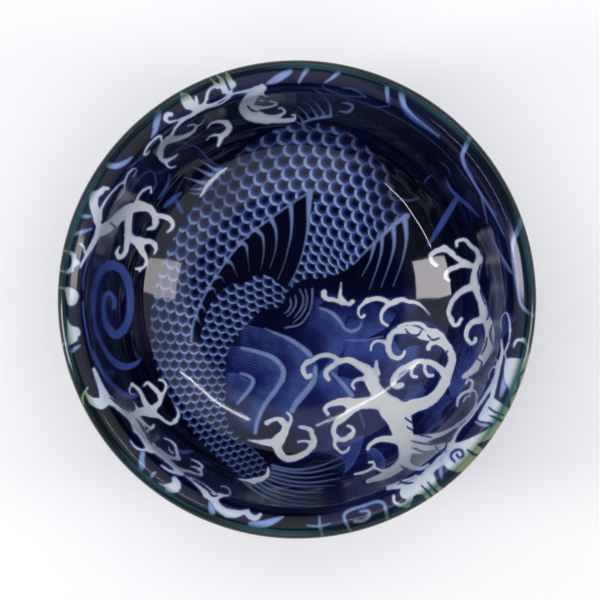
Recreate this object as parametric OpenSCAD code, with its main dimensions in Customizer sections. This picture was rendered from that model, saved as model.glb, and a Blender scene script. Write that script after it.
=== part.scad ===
// Handleless porcelain tea cup: a wide bowl on a turned foot, with cobalt transfers under a clear glaze.
// Millimetres. The origin is the centre of the standing face, +Z is up, +Y is the top of the picture inside.

/* [Cup] */
// Diameter over the lip
rim_d = 95; // [80:1:120]
// Height from the table to the lip
height = 52; // [42:1:66]

/* [Bowl] */
// Radius of the shallow curve of the floor
floor_curve_r = 66; // [50:1:90]
// Slope where the floor turns into the shoulder, in degrees
floor_edge_angle = 27; // [18:1:32]
// Radius of the shoulder between floor and wall
shoulder_r = 19; // [14:1:20]
// Slope where the shoulder turns into the wall, in degrees
shoulder_angle = 76; // [60:1:78]
// Slope of the wall just below the lip, in degrees
wall_top_angle = 87; // [78:1:88]

/* [Lip] */
// Radius of the outward flare below the lip
flare_r = 6.5; // [5:0.5:9]
// Slope of the flare at its edge, in degrees
flare_angle = 20; // [15:1:45]
// How far the tinted glaze runs down the outside of the lip
lip_glaze_drop = 6; // [6:0.5:12]

/* [Clay and coats] */
// Clay thickness in the middle of the floor
floor_t = 4.2; // [3:0.1:5.5]
// Clay thickness at the lip
lip_t = 2.3; // [1.8:0.1:3]
// Thickness of each glaze coat
glaze_t = 0.3; // [0.15:0.05:0.5]
// Thickness of the cobalt transfers
print_t = 0.06; // [0.04:0.01:0.12]

/* [Foot] */
// Outer diameter of the foot ring
foot_d = 43; // [34:1:54]
// Width of the foot ring's standing face, over its rounded edges
foot_w = 3.4; // [2.6:0.1:4.5]
// Height of the clay floor's underside above the table, in the middle of the foot
foot_h = 5; // [4.5:0.1:8]
// Radius of the foot ring's bottom edges
foot_edge_r = 0.9; // [0.5:0.1:1.2]
// Height of the bare clay left below the glaze on the foot
bare_h = 1.4; // [1.3:0.1:3]

/* [Hidden] */
$fn = 180;

// Section samples are [point, slope]. The line is the glazed inside face, from the axis to the flare's edge.
floor_steps = 16;
shoulder_steps = 10;
wall_steps = 16;
flare_steps = 8;
tip_steps = 14;
edge_steps = 5;

rim_r = rim_d / 2;
foot_r = foot_d / 2;
well_r = foot_r - foot_w;
tip_r = lip_t / 2 + glaze_t;
floor_z = foot_h + floor_t + glaze_t;

function turn(p, a0, a1, r) = p + r * [sin(a1) - sin(a0), cos(a0) - cos(a1)];
function arc_line(p, a0, a1, r, n) =
    [for (i = [1:n]) let (a = a0 + (a1 - a0) * i / n) [turn(p, a0, a, r), a]];

// The wall is a cubic curve that leaves the shoulder and meets the flare at their own slopes.
function heading(a) = [cos(a), sin(a)];
function cubic(a, b, c, d, t) = a*pow(1-t, 3) + 3*b*t*pow(1-t, 2) + 3*c*t*t*(1-t) + d*pow(t, 3);
function cubic_slope(a, b, c, d, t) =
    let (v = (b - a)*pow(1-t, 2) + 2*(c - b)*t*(1-t) + (d - c)*t*t) atan2(v.y, v.x);

floor_start = [0, floor_z];
floor_end = turn(floor_start, 0, floor_edge_angle, floor_curve_r);
shoulder_end = turn(floor_end, floor_edge_angle, shoulder_angle, shoulder_r);
tip_centre = [rim_r - tip_r, height - tip_r];
flare_end = tip_centre + tip_r * [-sin(flare_angle), cos(flare_angle)];
flare_start = flare_end - turn([0, 0], wall_top_angle, flare_angle, -flare_r);
wall_pull = norm(flare_start - shoulder_end) / 3;
wall_a = shoulder_end + wall_pull * heading(shoulder_angle);
wall_b = flare_start - wall_pull * heading(wall_top_angle);

floor_line = concat([[floor_start, 0]], arc_line(floor_start, 0, floor_edge_angle, floor_curve_r, floor_steps));
shoulder_line = arc_line(floor_end, floor_edge_angle, shoulder_angle, shoulder_r, shoulder_steps);
wall_line = [for (i = [1:wall_steps]) let (t = i / wall_steps)
    [cubic(shoulder_end, wall_a, wall_b, flare_start, t),
     cubic_slope(shoulder_end, wall_a, wall_b, flare_start, t)]];
flare_line = arc_line(flare_start, wall_top_angle, flare_angle, -flare_r, flare_steps);
bowl_line = concat(floor_line, shoulder_line, wall_line, flare_line);
last = len(bowl_line) - 1;
flare_index = last - flare_steps;

// Depth is measured from the glazed inside face into the clay. The clay thins from floor_t to lip_t.
function clay_at(i) = floor_t + (lip_t - floor_t) * min(1, i / flare_index);
function sunk(i, depth) = bowl_line[i][0] + depth * [sin(bowl_line[i][1]), -cos(bowl_line[i][1])];
function inner(depth, i0 = 0, i1 = last) = [for (i = [i0:i1]) sunk(i, depth)];
function outer(height_over_clay, i0 = 0, i1 = last) =
    [for (i = [i0:i1]) sunk(i, glaze_t + clay_at(i) + height_over_clay)];
function tip(r) = [for (i = [1:tip_steps - 1])
    let (a = flare_angle + 90 - 180 * i / tip_steps) tip_centre + r * heading(a)];
function back(line) = [for (i = [len(line) - 1:-1:0]) line[i]];

// The lip glaze starts where the flare starts inside, and ends lip_glaze_drop below the lip outside.
drop_index = max([for (i = [0:flare_index])
    if (sunk(i, glaze_t + clay_at(i)).y < height - lip_glaze_drop) i]);

// The outside coats stop at the foot. Samples past the foot's own radius belong to the outside.
function over_foot(height_over_clay, r) =
    let (line = outer(height_over_clay))
    [r, lookup(r, [for (i = [0:flare_index]) line[i]])];
function outside_from(height_over_clay, r, i1) =
    concat([over_foot(height_over_clay, r)],
        [for (p = outer(height_over_clay, 0, i1)) if (p.x > r + glaze_t) p]);

module lathe(section) { rotate_extrude() polygon(section); }

module clay_body() {
    color("gainsboro")
        lathe(concat(inner(glaze_t), tip(lip_t / 2), back(outer(0))));
}

// The ring's top follows the underside of the clay body, point for point.
module foot_ring() {
    under = outer(0);
    top = concat([over_foot(0, well_r)],
        [for (i = [0:flare_index]) if (under[i].x > well_r && under[i].x < foot_r) under[i]],
        [over_foot(0, foot_r)]);
    outer_edge = [for (i = [0:edge_steps]) let (a = -90 * i / edge_steps)
        [foot_r - foot_edge_r, foot_edge_r] + foot_edge_r * heading(a)];
    inner_edge = [for (i = [0:edge_steps]) let (a = -90 - 90 * i / edge_steps)
        [well_r + foot_edge_r, foot_edge_r] + foot_edge_r * heading(a)];
    color("antiquewhite") lathe(concat(top, outer_edge, inner_edge));
}

// Cobalt transfer on the clay inside, from the middle of the floor to the start of the flare.
module inside_transfer() {
    color("midnightblue")
        lathe(concat(inner(glaze_t - print_t, 0, flare_index), back(inner(glaze_t, 0, flare_index))));
}

// Cobalt transfer on the clay outside, from the foot to the tinted lip.
module outside_transfer() {
    color("midnightblue")
        lathe(concat(outside_from(0, foot_r, drop_index), back(outside_from(print_t, foot_r, drop_index))));
}

module inside_glaze() {
    color("navy")
        lathe(concat(inner(0, 0, flare_index), back(inner(glaze_t - print_t, 0, flare_index))));
}

// Tinted glaze that wraps the lip, over the bare clay.
module lip_glaze() {
    color("darkslategray")
        lathe(concat(
            inner(0, flare_index), tip(tip_r), back(outer(glaze_t, drop_index)),
            outer(0, drop_index), back(tip(lip_t / 2)), back(inner(glaze_t, flare_index))));
}

// Clear glaze from the tinted lip down the wall and the side of the foot, to bare_h above the table.
module outside_glaze() {
    skin_r = foot_r + glaze_t;
    color("navy")
        lathe(concat(
            [[foot_r, bare_h], [skin_r, bare_h + glaze_t]],
            outside_from(glaze_t, skin_r, drop_index), back(outside_from(print_t, foot_r, drop_index))));
}

// Clear glaze inside the foot: the underside of the floor and the ring's inner side.
module foot_well_glaze() {
    skin_r = well_r - glaze_t;
    color("lightsteelblue")
        lathe(concat(
            [for (p = outer(0)) if (p.x < well_r) p], [over_foot(0, well_r)],
            [[well_r, bare_h], [skin_r, bare_h + glaze_t]], [over_foot(glaze_t, skin_r)],
            back([for (p = outer(glaze_t)) if (p.x < skin_r) p])));
}

clay_body();
foot_ring();
inside_transfer();
outside_transfer();
inside_glaze();
lip_glaze();
outside_glaze();
foot_well_glaze();
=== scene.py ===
import bpy
import math
import numpy as np
from mathutils import Matrix, Vector


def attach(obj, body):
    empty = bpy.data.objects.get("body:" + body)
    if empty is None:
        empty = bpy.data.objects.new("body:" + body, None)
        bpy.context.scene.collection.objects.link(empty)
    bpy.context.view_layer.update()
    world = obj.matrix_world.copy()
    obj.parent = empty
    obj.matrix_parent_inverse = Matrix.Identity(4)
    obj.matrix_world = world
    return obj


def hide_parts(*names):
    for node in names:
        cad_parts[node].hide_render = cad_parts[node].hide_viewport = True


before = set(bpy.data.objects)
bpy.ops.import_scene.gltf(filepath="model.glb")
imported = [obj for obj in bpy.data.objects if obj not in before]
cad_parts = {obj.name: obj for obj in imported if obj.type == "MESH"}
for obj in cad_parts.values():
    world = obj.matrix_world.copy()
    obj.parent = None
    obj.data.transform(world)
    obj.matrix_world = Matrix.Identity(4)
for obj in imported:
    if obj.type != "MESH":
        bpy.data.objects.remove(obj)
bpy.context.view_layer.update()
MM = 0.001

# Height of the camera above the lip, in millimetres.
EYE = 600.0


# Drawing -----------------------------------------------------------------------------------------
# The decoration is drawn in millimetres as seen from straight above, +X right and +Y up.
# A line is (start width, middle width, end width, [points]). It is smoothed through its points.

# Distances from a shape's edge are measured up to REACH, and from the fish's edge up to BODY_REACH. FAR
# stands for the distance to a ridge where there is no wave. A millimetre of line has about PER_MM samples.
REACH = 2.0
BODY_REACH = 3.0
FAR = 9.0
PER_MM = 2.5

# How far neighbouring shapes melt into each other.
FOAM_BLEND = 0.5
AREA_BLEND = 0.4
LINE_BLEND = 0.3
CUT_BLEND = 0.1
CUT_WIDENING = 0.02

# How far each listed tone spreads, and how quickly a wave fades in at its ends.
GLOW_SPREAD = 2.6
GROUND_SPREAD = 3.0
END_FADE = 12


def smooth_line(points, closed=False):
    """Evenly spread samples on a smooth line through the points."""
    p = np.array(points, float)
    if closed:
        p = np.vstack([p[-1:], p, p[:2]])
    else:
        p = np.vstack([2 * p[0] - p[1], p, 2 * p[-1] - p[-2]])
    samples = []
    for a, b, c, d in zip(p[:-3], p[1:-2], p[2:-1], p[3:]):
        count = max(2, int(math.dist(b, c) * PER_MM) + 1)
        t = np.linspace(0, 1, count, endpoint=False)[:, None]
        samples.append(b + 0.5 * t * (c - a + t * (2 * a - 5 * b + 4 * c - d + t * (3 * b - a - 3 * c + d))))
    return np.vstack(samples + [p[-2:-1]])


def blend_min(a, b, softness):
    """The smaller of two distances, with the corner between them filled in."""
    gap = np.maximum(softness - np.abs(a - b), 0) / softness
    return np.minimum(a, b) - gap * gap * softness / 4


def near_line(x, y, line, reach):
    """Which places are within reach of the box round the line."""
    low = line.min(0) - reach
    high = line.max(0) + reach
    return np.flatnonzero((x > low[0]) & (x < high[0]) & (y > low[1]) & (y < high[1]))


def line_distance(x, y, line):
    """Distance to the line, the share of its length reached, and the side, for each place."""
    best = np.full(len(x), 1e3)
    share = np.zeros(len(x))
    side = np.zeros(len(x))
    steps = np.hypot(*np.diff(line, axis=0).T)
    along = np.concatenate([[0], np.cumsum(steps)]) / steps.sum()
    for (ax, ay), (bx, by), s0, s1 in zip(line[:-1], line[1:], along[:-1], along[1:]):
        dx = bx - ax
        dy = by - ay
        t = np.clip(((x - ax) * dx + (y - ay) * dy) / (dx * dx + dy * dy + 1e-9), 0, 1)
        away = np.hypot(x - ax - t * dx, y - ay - t * dy)
        closer = away < best
        best = np.where(closer, away, best)
        share = np.where(closer, s0 + t * (s1 - s0), share)
        side = np.where(closer, np.sign(dx * (y - ay) - dy * (x - ax)), side)
    return best, share, side


def width_at(share, w0, w1, w2):
    """Width along a line from its start, middle and end widths."""
    return w0 + share * (4 * w1 - 3 * w0 - w2) + share * share * (2 * w0 + 2 * w2 - 4 * w1)


def draw(x, y, lines, softness):
    """Signed distance to the edge of a set of lines: negative inside."""
    field = np.full(len(x), REACH)
    for w0, w1, w2, points in lines:
        line = smooth_line(points)
        near = near_line(x, y, line, REACH + max(w0, w1, w2) / 2)
        if not len(near):
            continue
        away, share, _ = line_distance(x[near], y[near], line)
        field[near] = blend_min(field[near], away - np.maximum(width_at(share, w0, w1, w2), 0) / 2, softness)
    return field


def outline(x, y, points, reach=REACH):
    """Signed distance to the edge of a smooth closed shape: negative inside."""
    line = smooth_line(points, closed=True)
    field = np.full(len(x), reach)
    near = near_line(x, y, line, reach)
    px = x[near]
    py = y[near]
    away, _, _ = line_distance(px, py, line)
    inside = np.zeros(len(near), bool)
    for (ax, ay), (bx, by) in zip(line, np.roll(line, -1, axis=0)):
        spans = (ay > py) != (by > py)
        if ay != by:
            inside ^= spans & (px < ax + (py - ay) * (bx - ax) / (by - ay))
    field[near] = np.where(inside, -away, np.minimum(away, reach))
    return field


def tone(x, y, places, spread):
    """A smooth value between given places (x, y, value)."""
    total = np.full(len(x), 1e-9)
    value = np.zeros(len(x))
    for px, py, v in places:
        weight = np.exp(-((x - px) ** 2 + (y - py) ** 2) / (2 * spread * spread)) + 1e-6
        total += weight
        value += weight * v
    return value / total


def same_width(first, middle, last, lines):
    """Lines that share their three widths."""
    return [(first, middle, last, points) for points in lines]


# White foam inside the bowl.
FOAM = [
    # Flat-topped wave crest in the middle
    (1.3, 0.9, 1.0, [(5.3, 1.4), (5.3, 0.7), (6, 0.1), (7, 0), (8.2, -0.4), (9.6, -0.7), (10.3, -0.9),
                     (11, -0.4)]),
    (0.3, 0.7, 1.4, [(8.7, 3.3), (8.6, 1.8), (8.5, 0.7), (9, -0.4)]),
    # Long arch to its right
    (0.7, 0.6, 1.0, [(13.3, -3.1), (12.8, -3.6), (12.2, -3), (12.2, -1.8), (13, -0.9), (13.9, -0.2)]),
    (1.0, 1.0, 1.1, [(13.9, -0.2), (15.5, 0.2), (17, 0), (18.4, -0.8), (19.5, -0.4)]),
    (1.1, 0.8, 0.3, [(19.5, -0.4), (20.8, 0), (22, -0.4), (23.5, -0.6), (25, -1.6), (26.2, -3)]),
    (1.1, 0.8, 0.7, [(18.2, -0.9), (17, -2.1), (16.6, -3.2), (16.8, -4.4), (17.8, -5.1)]),
    # Big curling tree of foam, left loop
    (5.0, 3.2, 2.6, [(19.5, -22.4), (17.5, -20.3), (15.4, -17.6), (14.8, -16)]),
    (2.8, 1.5, 1.0, [(14.8, -16), (14.1, -14.2), (12.6, -13.2), (10.3, -12), (8.2, -12.4), (7, -13.2)]),
    (1.0, 1.2, 1.0, [(7, -13.2), (5.9, -14), (5.7, -15), (6.2, -15.8)]),
    (1.1, 1.0, 1.0, [(8.4, -12.2), (7, -11.2), (5.5, -11), (4, -11.4), (3.2, -12), (2, -12.4)]),
    (1.0, 1.1, 1.1, [(2, -12.4), (1.2, -13.3), (1.3, -14.5), (2, -15.3), (2.6, -15)]),
    (1.2, 0.9, 0.6, [(15.9, -14.6), (15.7, -13.4), (15.7, -12.2)]),
    (1.2, 0.8, 0.7, [(14, -15.8), (12.6, -15.7), (11.4, -16.1), (10.9, -16.9), (11.3, -17.6)]),
    # Left arm
    (3.0, 2.4, 2.0, [(17.5, -20.5), (14.6, -20.4), (12, -20.6), (10.2, -20.4)]),
    (2.0, 1.2, 0.8, [(10.2, -20.4), (8.8, -20.2), (7, -20.6), (6, -21), (5.5, -21.8), (6.1, -22.7)]),
    (2.2, 1.6, 1.4, [(12, -20.8), (10.6, -22), (9.4, -23.2), (8.4, -24)]),
    (1.3, 1.1, 1.1, [(8.8, -23.4), (7.6, -24.6), (7.2, -26.3), (8, -27.5), (9.4, -27.7), (10.6, -27)]),
    (1.1, 0.8, 0.6, [(10.6, -27), (11.2, -26.1), (10.7, -25.2), (10, -25)]),
    (0.9, 0.7, 0.6, [(7.6, -27.3), (7.4, -28.8), (8.2, -29.8), (9, -30.3), (10, -29.8), (10.3, -29.2)]),
    # Trunk
    (5.0, 4.6, 2.8, [(18.6, -21.6), (20, -23.2), (20.8, -26), (21.5, -29)]),
    (2.8, 2.0, 0.9, [(21.5, -29), (21, -32), (18, -34.5), (14, -36)]),
    (2.0, 1.2, 0.8, [(20.4, -27.8), (16.7, -27.6), (14.6, -28.6), (14, -29.6)]),
    (0.5, 0.7, 0.6, [(11.4, -34.6), (13.4, -34.1), (14.8, -33.4), (15.3, -32.8), (15, -32.2), (14.3, -32.2)]),
    (0.5, 0.7, 1.2, [(15.2, -33.2), (16.6, -33.8), (18.5, -34)]),
    # Right ring with its crests
    (3.4, 2.4, 2.0, [(20.4, -22.4), (23, -21.1), (25.4, -20.4), (27.6, -18.9), (29.2, -16.5)]),
    (2.0, 1.7, 1.6, [(29.2, -16.5), (30.1, -14), (30.7, -11.5), (29.9, -9.6)]),
    (1.5, 1.2, 1.0, [(29.9, -9.6), (28.6, -8.4), (27.2, -8.4), (26.2, -9), (26, -9.7)]),
    (1.8, 1.2, 1.1, [(29.4, -15), (28.4, -13.8), (27, -12.7), (25.5, -12.3), (23.8, -12.2), (22.3, -13)]),
    (1.1, 1.3, 1.2, [(22.3, -13), (20.5, -13.9), (19.3, -15.3), (19, -16.5), (19.6, -17.2), (20.7, -16.9)]),
    (0.8, 0.8, 0.8, [(23.2, -12.9), (22.6, -14.1), (22.8, -15.1), (23.6, -15.3)]),
    (0.8, 0.8, 0.8, [(25.3, -12.7), (25.3, -14), (25.9, -15), (26.8, -15)]),
    (0.9, 1.9, 1.4, [(18.4, -7.4), (19.2, -6.4), (21, -6), (23, -6.2), (25, -7.1), (27, -7.5), (29, -8.9)]),
    (0.3, 0.8, 1.0, [(20.3, -6.2), (20, -5.4), (20.9, -4.9), (23, -4.7), (24.6, -4.9), (25.8, -5.9),
                     (27.4, -6.3)]),
    (1.0, 1.0, 0.9, [(27.4, -6.3), (28.6, -7.1), (29.4, -8.4), (30, -10)]),
    (1.4, 1.2, 0.6, [(18.4, -7.5), (18, -9.3), (18.6, -11), (20, -11.6), (21, -11), (21.3, -10.2)]),
    (0.9, 0.7, 0.6, [(18, -8.8), (16.6, -8.2), (15.4, -8.3), (14.7, -9.2), (14.6, -10)]),
    # Crests at the right
    (1.0, 1.0, 1.3, [(27.5, 6.8), (26.6, 7.6), (26.5, 8.8), (27.4, 9.5), (28.4, 9.9), (29.2, 10.1)]),
    (1.3, 1.1, 1.0, [(29.2, 10.1), (30.2, 9.5), (31.2, 8.6), (32.3, 7.8), (33.8, 7.2)]),
    (0.7, 0.9, 1.1, [(31.6, 10.6), (31.6, 11.4), (32.3, 11.8), (33.4, 11.7), (34.4, 10.6), (35.6, 9.6),
                     (36.1, 8)]),
    (0.8, 1.1, 1.1, [(30, 3.8), (29.4, 4.3), (29.5, 5.2), (30.3, 6), (31.2, 6.3), (32.6, 6.8), (35.2, 6.6)]),
    (1.4, 1.7, 1.4, [(36.1, 8), (35.4, 5.5), (35.1, 3.5), (35.7, 1.5), (36.7, -1)]),
    (1.6, 2.0, 2.0, [(36.7, -1), (37, -3), (37.8, -4.8), (38.2, -7), (37.7, -10)]),
    (2.0, 1.8, 1.0, [(37.7, -10), (36.5, -12), (34.8, -14), (33, -15.3)]),
    (1.6, 1.1, 1.0, [(34.8, 2.6), (33, 1.9), (31.6, 0.8), (30.5, -0.8), (30, -2.6), (30.5, -4)]),
    (1.0, 0.9, 0.8, [(30.5, -4), (31, -5), (31.8, -4.9), (32.5, -3.8)]),
    (1.5, 1.0, 0.8, [(36.4, -4), (34.6, -4.6), (33.6, -6), (33.5, -7.5), (34.4, -8.7), (35.2, -8.3),
                     (35.3, -7.7)]),
    (0.3, 0.4, 0.4, [(40.5, -6), (40.3, -4.5), (40.6, -3.3), (41.4, -2.6), (42, -4), (42.2, -6)]),
    (0.4, 0.4, 0.3, [(42.2, -6), (41.9, -8.5), (41.2, -10.5), (41.4, -12)]),
    # Bottom middle
    (0.2, 1.2, 2.2, [(-9.8, -27.8), (-7, -28.2), (-4.6, -28.3), (-3.6, -27.8)]),
    (2.2, 1.6, 1.2, [(-3.6, -27.8), (-2.6, -26.4), (-2.3, -25), (-3, -24)]),
    (1.2, 0.9, 1.1, [(-3, -24), (-3.9, -23.6), (-5, -23.9), (-6, -24.4)]),
    (1.0, 0.8, 0.6, [(-2, -25.2), (-1.2, -24), (-1.4, -22.9), (-2, -22.4)]),
    (1.8, 1.4, 1.2, [(-4.2, -28.4), (-3.4, -30.4), (-2, -31.5), (0, -31.2), (1.8, -30.3), (3, -29)]),
    (1.2, 1.1, 0.7, [(3, -29), (3.4, -28), (3, -26.8), (2.7, -25.9), (1.6, -25.4), (0.5, -25.2)]),
    (0.7, 0.6, 0.5, [(2.7, -28.3), (1.3, -28), (0.2, -28.2)]),
    # Left tree
    (2.2, 2.2, 1.9, [(-38.6, 13.6), (-36.6, 14.9), (-35, 16.6), (-33.2, 17.9), (-31, 18.5)]),
    (1.9, 1.5, 1.2, [(-31, 18.5), (-29.2, 18), (-28.2, 16.6), (-28, 15.3)]),
    (1.2, 1.0, 0.5, [(-28, 15.3), (-28.4, 14.3), (-29.6, 13.9)]),
    (1.8, 1.5, 1.4, [(-33.4, 17.2), (-33.4, 14.6), (-33.3, 12.8), (-32.2, 11.7)]),
    (1.4, 1.2, 1.0, [(-32.2, 11.7), (-30.5, 11.5), (-29, 11.5), (-28.2, 10.9)]),
    (1.0, 0.8, 0.4, [(-28.2, 10.9), (-27.9, 10), (-28.3, 9)]),
    (0.9, 1.1, 0.5, [(-28.2, 16.6), (-26.8, 16.5), (-25.3, 16), (-24.6, 15), (-24.9, 14), (-25.7, 13.3)]),
    (1.4, 1.1, 0.9, [(-33.5, 12.6), (-33.7, 11), (-33.9, 9.7), (-34.5, 8.6), (-35.2, 8.4)]),
    (0.9, 0.7, 0.3, [(-35.2, 8.4), (-35.7, 9.1), (-35.5, 9.9), (-35.1, 10.5)]),
    (2.2, 1.2, 0.7, [(-31.3, 11.4), (-30.9, 10), (-30.3, 8.9), (-29.8, 7.9), (-29.9, 7)]),
    (0.7, 0.6, 0.5, [(-29.9, 7), (-30.5, 6.3), (-31.2, 6.1), (-31.9, 6.1)]),
    (0.6, 0.5, 0.3, [(-31, 6.1), (-31.2, 5.5)]),
    (1.6, 1.2, 1.1, [(-40.4, 20.6), (-40.3, 18.6), (-39.7, 16.6), (-39.3, 14.8)]),
    (1.4, 1.0, 0.5, [(-39, 14.4), (-39.7, 12.3), (-40.7, 10.5), (-41.6, 8.9), (-42.4, 7.4), (-42.9, 6.4)]),
    (0.8, 0.6, 0.4, [(-40.2, 21), (-38.8, 21.4), (-37.3, 22)]),
    (0.7, 0.6, 0.5, [(-31.8, 19.4), (-31.3, 20.6), (-30.3, 21.7), (-29, 22.2), (-28.9, 21.2)]),
    (0.9, 0.5, 0.4, [(-39, 16), (-38.8, 17.8), (-37.8, 19.6), (-36.4, 21.5), (-35, 22.8), (-34, 23.4)]),
    (0.4, 0.4, 0.3, [(-34, 23.6), (-33.3, 25), (-32.3, 25.9), (-31.7, 25.6), (-32.4, 24.3)]),
    (0.5, 0.4, 0.2, [(-34.1, 23), (-34.1, 21.8), (-35, 20.4), (-36, 19.2)]),
    # Upper left chain
    (0.5, 0.7, 0.6, [(-14.6, 41), (-14.8, 41.8), (-15.8, 42.2), (-17, 41.8), (-17.7, 40.8), (-17.9, 39.7)]),
    (0.6, 0.6, 0.9, [(-17.9, 39.7), (-18.3, 38.9), (-19, 38.3), (-20, 38)]),
    (1.8, 2.6, 1.8, [(-14.2, 43.4), (-13.9, 42.3), (-13.6, 41.4)]),
    (1.6, 2.3, 1.4, [(-22, 40.2), (-21.5, 38.9), (-20.6, 38)]),
    (1.0, 0.9, 0.6, [(-20.6, 38), (-19.9, 38.8), (-20, 40.2)]),
    (0.7, 0.4, 0.6, [(-18.2, 38.4), (-16.5, 38.7), (-14.6, 39.7), (-13, 40.7)]),
    (0.6, 0.4, 0.5, [(-19, 37.8), (-16.8, 38.2), (-15, 38.8), (-13.4, 40)]),
    (0.5, 0.7, 1.5, [(-13.3, 40.5), (-11.5, 41), (-10, 41.2), (-8.2, 41.6), (-6.9, 41.9)]),
    (0.8, 0.8, 0.5, [(-18.4, 38), (-19.7, 37.2), (-21, 36.4), (-22.5, 35.6), (-24, 34), (-24.6, 32.8)]),
    (0.5, 1.2, 1.2, [(-24.6, 32.8), (-25.3, 31.8), (-26.4, 30.8), (-27, 29.7), (-27.2, 28.8)]),
    (0.5, 0.5, 0.9, [(-22.5, 35.8), (-24, 35.4), (-25.2, 35.1), (-26, 35.6), (-25.9, 36.4)]),
    (0.8, 0.9, 0.9, [(-26, 36), (-25.6, 36.7), (-24.9, 36.6)]),
    (1.5, 0.8, 0.4, [(-25.3, 31.5), (-23.6, 31.9), (-22, 32.4), (-20.5, 33.3), (-20, 34.2), (-20.6, 34.7),
                     (-21.6, 34.3)]),
    (0.4, 0.3, 0.2, [(-20, 34.2), (-18.8, 34.9), (-18.2, 35.9)]),
    (0.6, 0.5, 0.4, [(-26.8, 31.6), (-27.1, 32.4), (-28.2, 31.7), (-29.3, 30.6), (-30, 29.5), (-30.2, 28.7)]),
    (0.4, 0.4, 0.3, [(-30.2, 28.7), (-29.7, 28.7), (-29.2, 29.3)]),
    (1.1, 0.8, 0.3, [(-27.1, 29), (-26.9, 27.9), (-26.3, 27.4), (-25.3, 27.7), (-24.3, 28.2), (-23.6, 28.8)]),
    (0.7, 0.5, 0.3, [(-26, 27.5), (-25.8, 26.6), (-25, 26.1), (-24, 26.4)]),
    (0.3, 0.6, 1.0, [(-17.8, 33.9), (-17.2, 34.7), (-16, 35.2), (-14.8, 35.2), (-13.9, 34.9)]),
    (1.2, 1.2, 0.7, [(-13.9, 34.9), (-13.4, 34), (-14, 33), (-14.9, 32.3), (-15.2, 31.5), (-15.6, 30.5)]),
    (0.8, 0.5, 0.2, [(-15, 32.2), (-16, 32.6), (-17.2, 32.3), (-17.8, 31.6)]),
    # Spine of the comb fin
    (0.4, 0.9, 0.4, [(-13.9, 26), (-15.3, 25.1), (-16.5, 23.9), (-17.8, 22.6), (-18.6, 21.2), (-19.2, 20.4)]),
    # Top cloud
    (1.4, 2.2, 2.8, [(-6.8, 41.8), (-8.4, 40.6), (-9.6, 39.2), (-10, 37.8)]),
    (3.0, 2.6, 1.6, [(-10, 37.8), (-9.3, 36.8), (-7.6, 36.1), (-5.8, 35.7)]),
    (1.6, 1.1, 0.4, [(-5.8, 35.7), (-4.2, 35.5), (-3, 35.4), (-1.8, 35.4), (-0.6, 35.5)]),
    (0.9, 0.6, 0.4, [(-8.4, 38), (-6.6, 38), (-5.2, 38.2), (-4, 38.7), (-4.6, 39.1), (-5.4, 39.2)]),
    (1.0, 0.7, 0.4, [(-5, 36), (-3.7, 36.3), (-2.6, 36.9), (-2.5, 37.4), (-3.1, 37.9), (-3.6, 37.8)]),
    (0.6, 0.6, 0.4, [(-2.2, 35.5), (-1, 35.6), (-0.4, 36), (-0.5, 36.5), (-1.1, 36.5)]),
    (0.9, 0.5, 0.2, [(-7.2, 41), (-6.3, 40.3), (-5.4, 40.2)]),
    (0.3, 0.4, 0.3, [(-7.4, 39.4), (-6.6, 39.3)]),
    (0.8, 0.5, 0.3, [(-5.8, 35.3), (-6.6, 35.2), (-7.2, 35.6)]),
    # Lower left tree
    (0.2, 1.0, 1.3, [(-40.2, -13.6), (-39.4, -16), (-38.3, -18.3), (-36.6, -20.3)]),
    (1.2, 1.6, 2.4, [(-36.6, -20.3), (-34.5, -21.9), (-32.6, -23.4), (-31.3, -25.4)]),
    (2.2, 1.6, 2.0, [(-31.3, -25.4), (-30.1, -27.6), (-28.9, -29.3)]),
    (1.6, 1.1, 1.1, [(-28.6, -29.4), (-26.6, -30.9), (-25, -32.4), (-23.4, -33.9)]),
    (1.6, 1.3, 0.7, [(-38.4, -18.6), (-38.2, -20), (-38.6, -21.1), (-39.8, -20.8), (-41, -20)]),
    (1.4, 1.8, 2.0, [(-32.3, -22.9), (-30.8, -22.2), (-29, -22.2)]),
    (2.0, 1.1, 0.9, [(-28.8, -22.2), (-28, -21.2), (-27.2, -20.4), (-27, -19.2)]),
    (0.9, 0.9, 0.5, [(-27, -19.4), (-27.6, -18.3), (-28.7, -17.2), (-29.6, -16.5), (-30.3, -17)]),
    (0.8, 0.6, 0.5, [(-26.9, -19), (-26.2, -18.1), (-25.9, -17), (-26.5, -16.1), (-27.3, -15.9)]),
    (1.3, 0.9, 0.6, [(-29.3, -21.6), (-30.2, -20.2), (-30.8, -18.8), (-31.6, -17.6), (-32.6, -16.8)]),
    (0.6, 0.4, 0.3, [(-32.6, -16.8), (-33.2, -17.8), (-32.9, -18.7), (-32.2, -18.7)]),
    (1.3, 0.7, 0.8, [(-28.6, -22.6), (-27.3, -23.2), (-26, -24.2), (-25, -24.6), (-24.1, -24.1)]),
    (0.8, 0.7, 0.3, [(-24.1, -24.1), (-23.5, -23), (-23.6, -22), (-24.2, -21)]),
    (0.8, 0.4, 0.1, [(-31.5, -22), (-31.9, -21), (-32.4, -20.2)]),
    (0.8, 0.6, 0.5, [(-31, -23.8), (-29.9, -24.8), (-29, -25.3), (-28.4, -24.9)]),
    (0.7, 0.5, 0.4, [(-30, -26.6), (-29.3, -25.8), (-28.4, -25.4)]),
    (0.3, 0.5, 0.7, [(-33, -28), (-32, -29.2), (-30.7, -29.8), (-29.5, -29.6)]),
    (0.9, 0.8, 0.7, [(-27.3, -29.8), (-26, -30.8), (-24.7, -31.3), (-23.4, -31.5)]),
    (0.7, 0.6, 0.3, [(-23.4, -31.5), (-23.8, -30.2), (-24.1, -29), (-25, -28), (-26.3, -27.4)]),
    (0.4, 0.4, 0.2, [(-24.6, -30.4), (-25.3, -29.7), (-25.4, -29.1)]),
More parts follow.
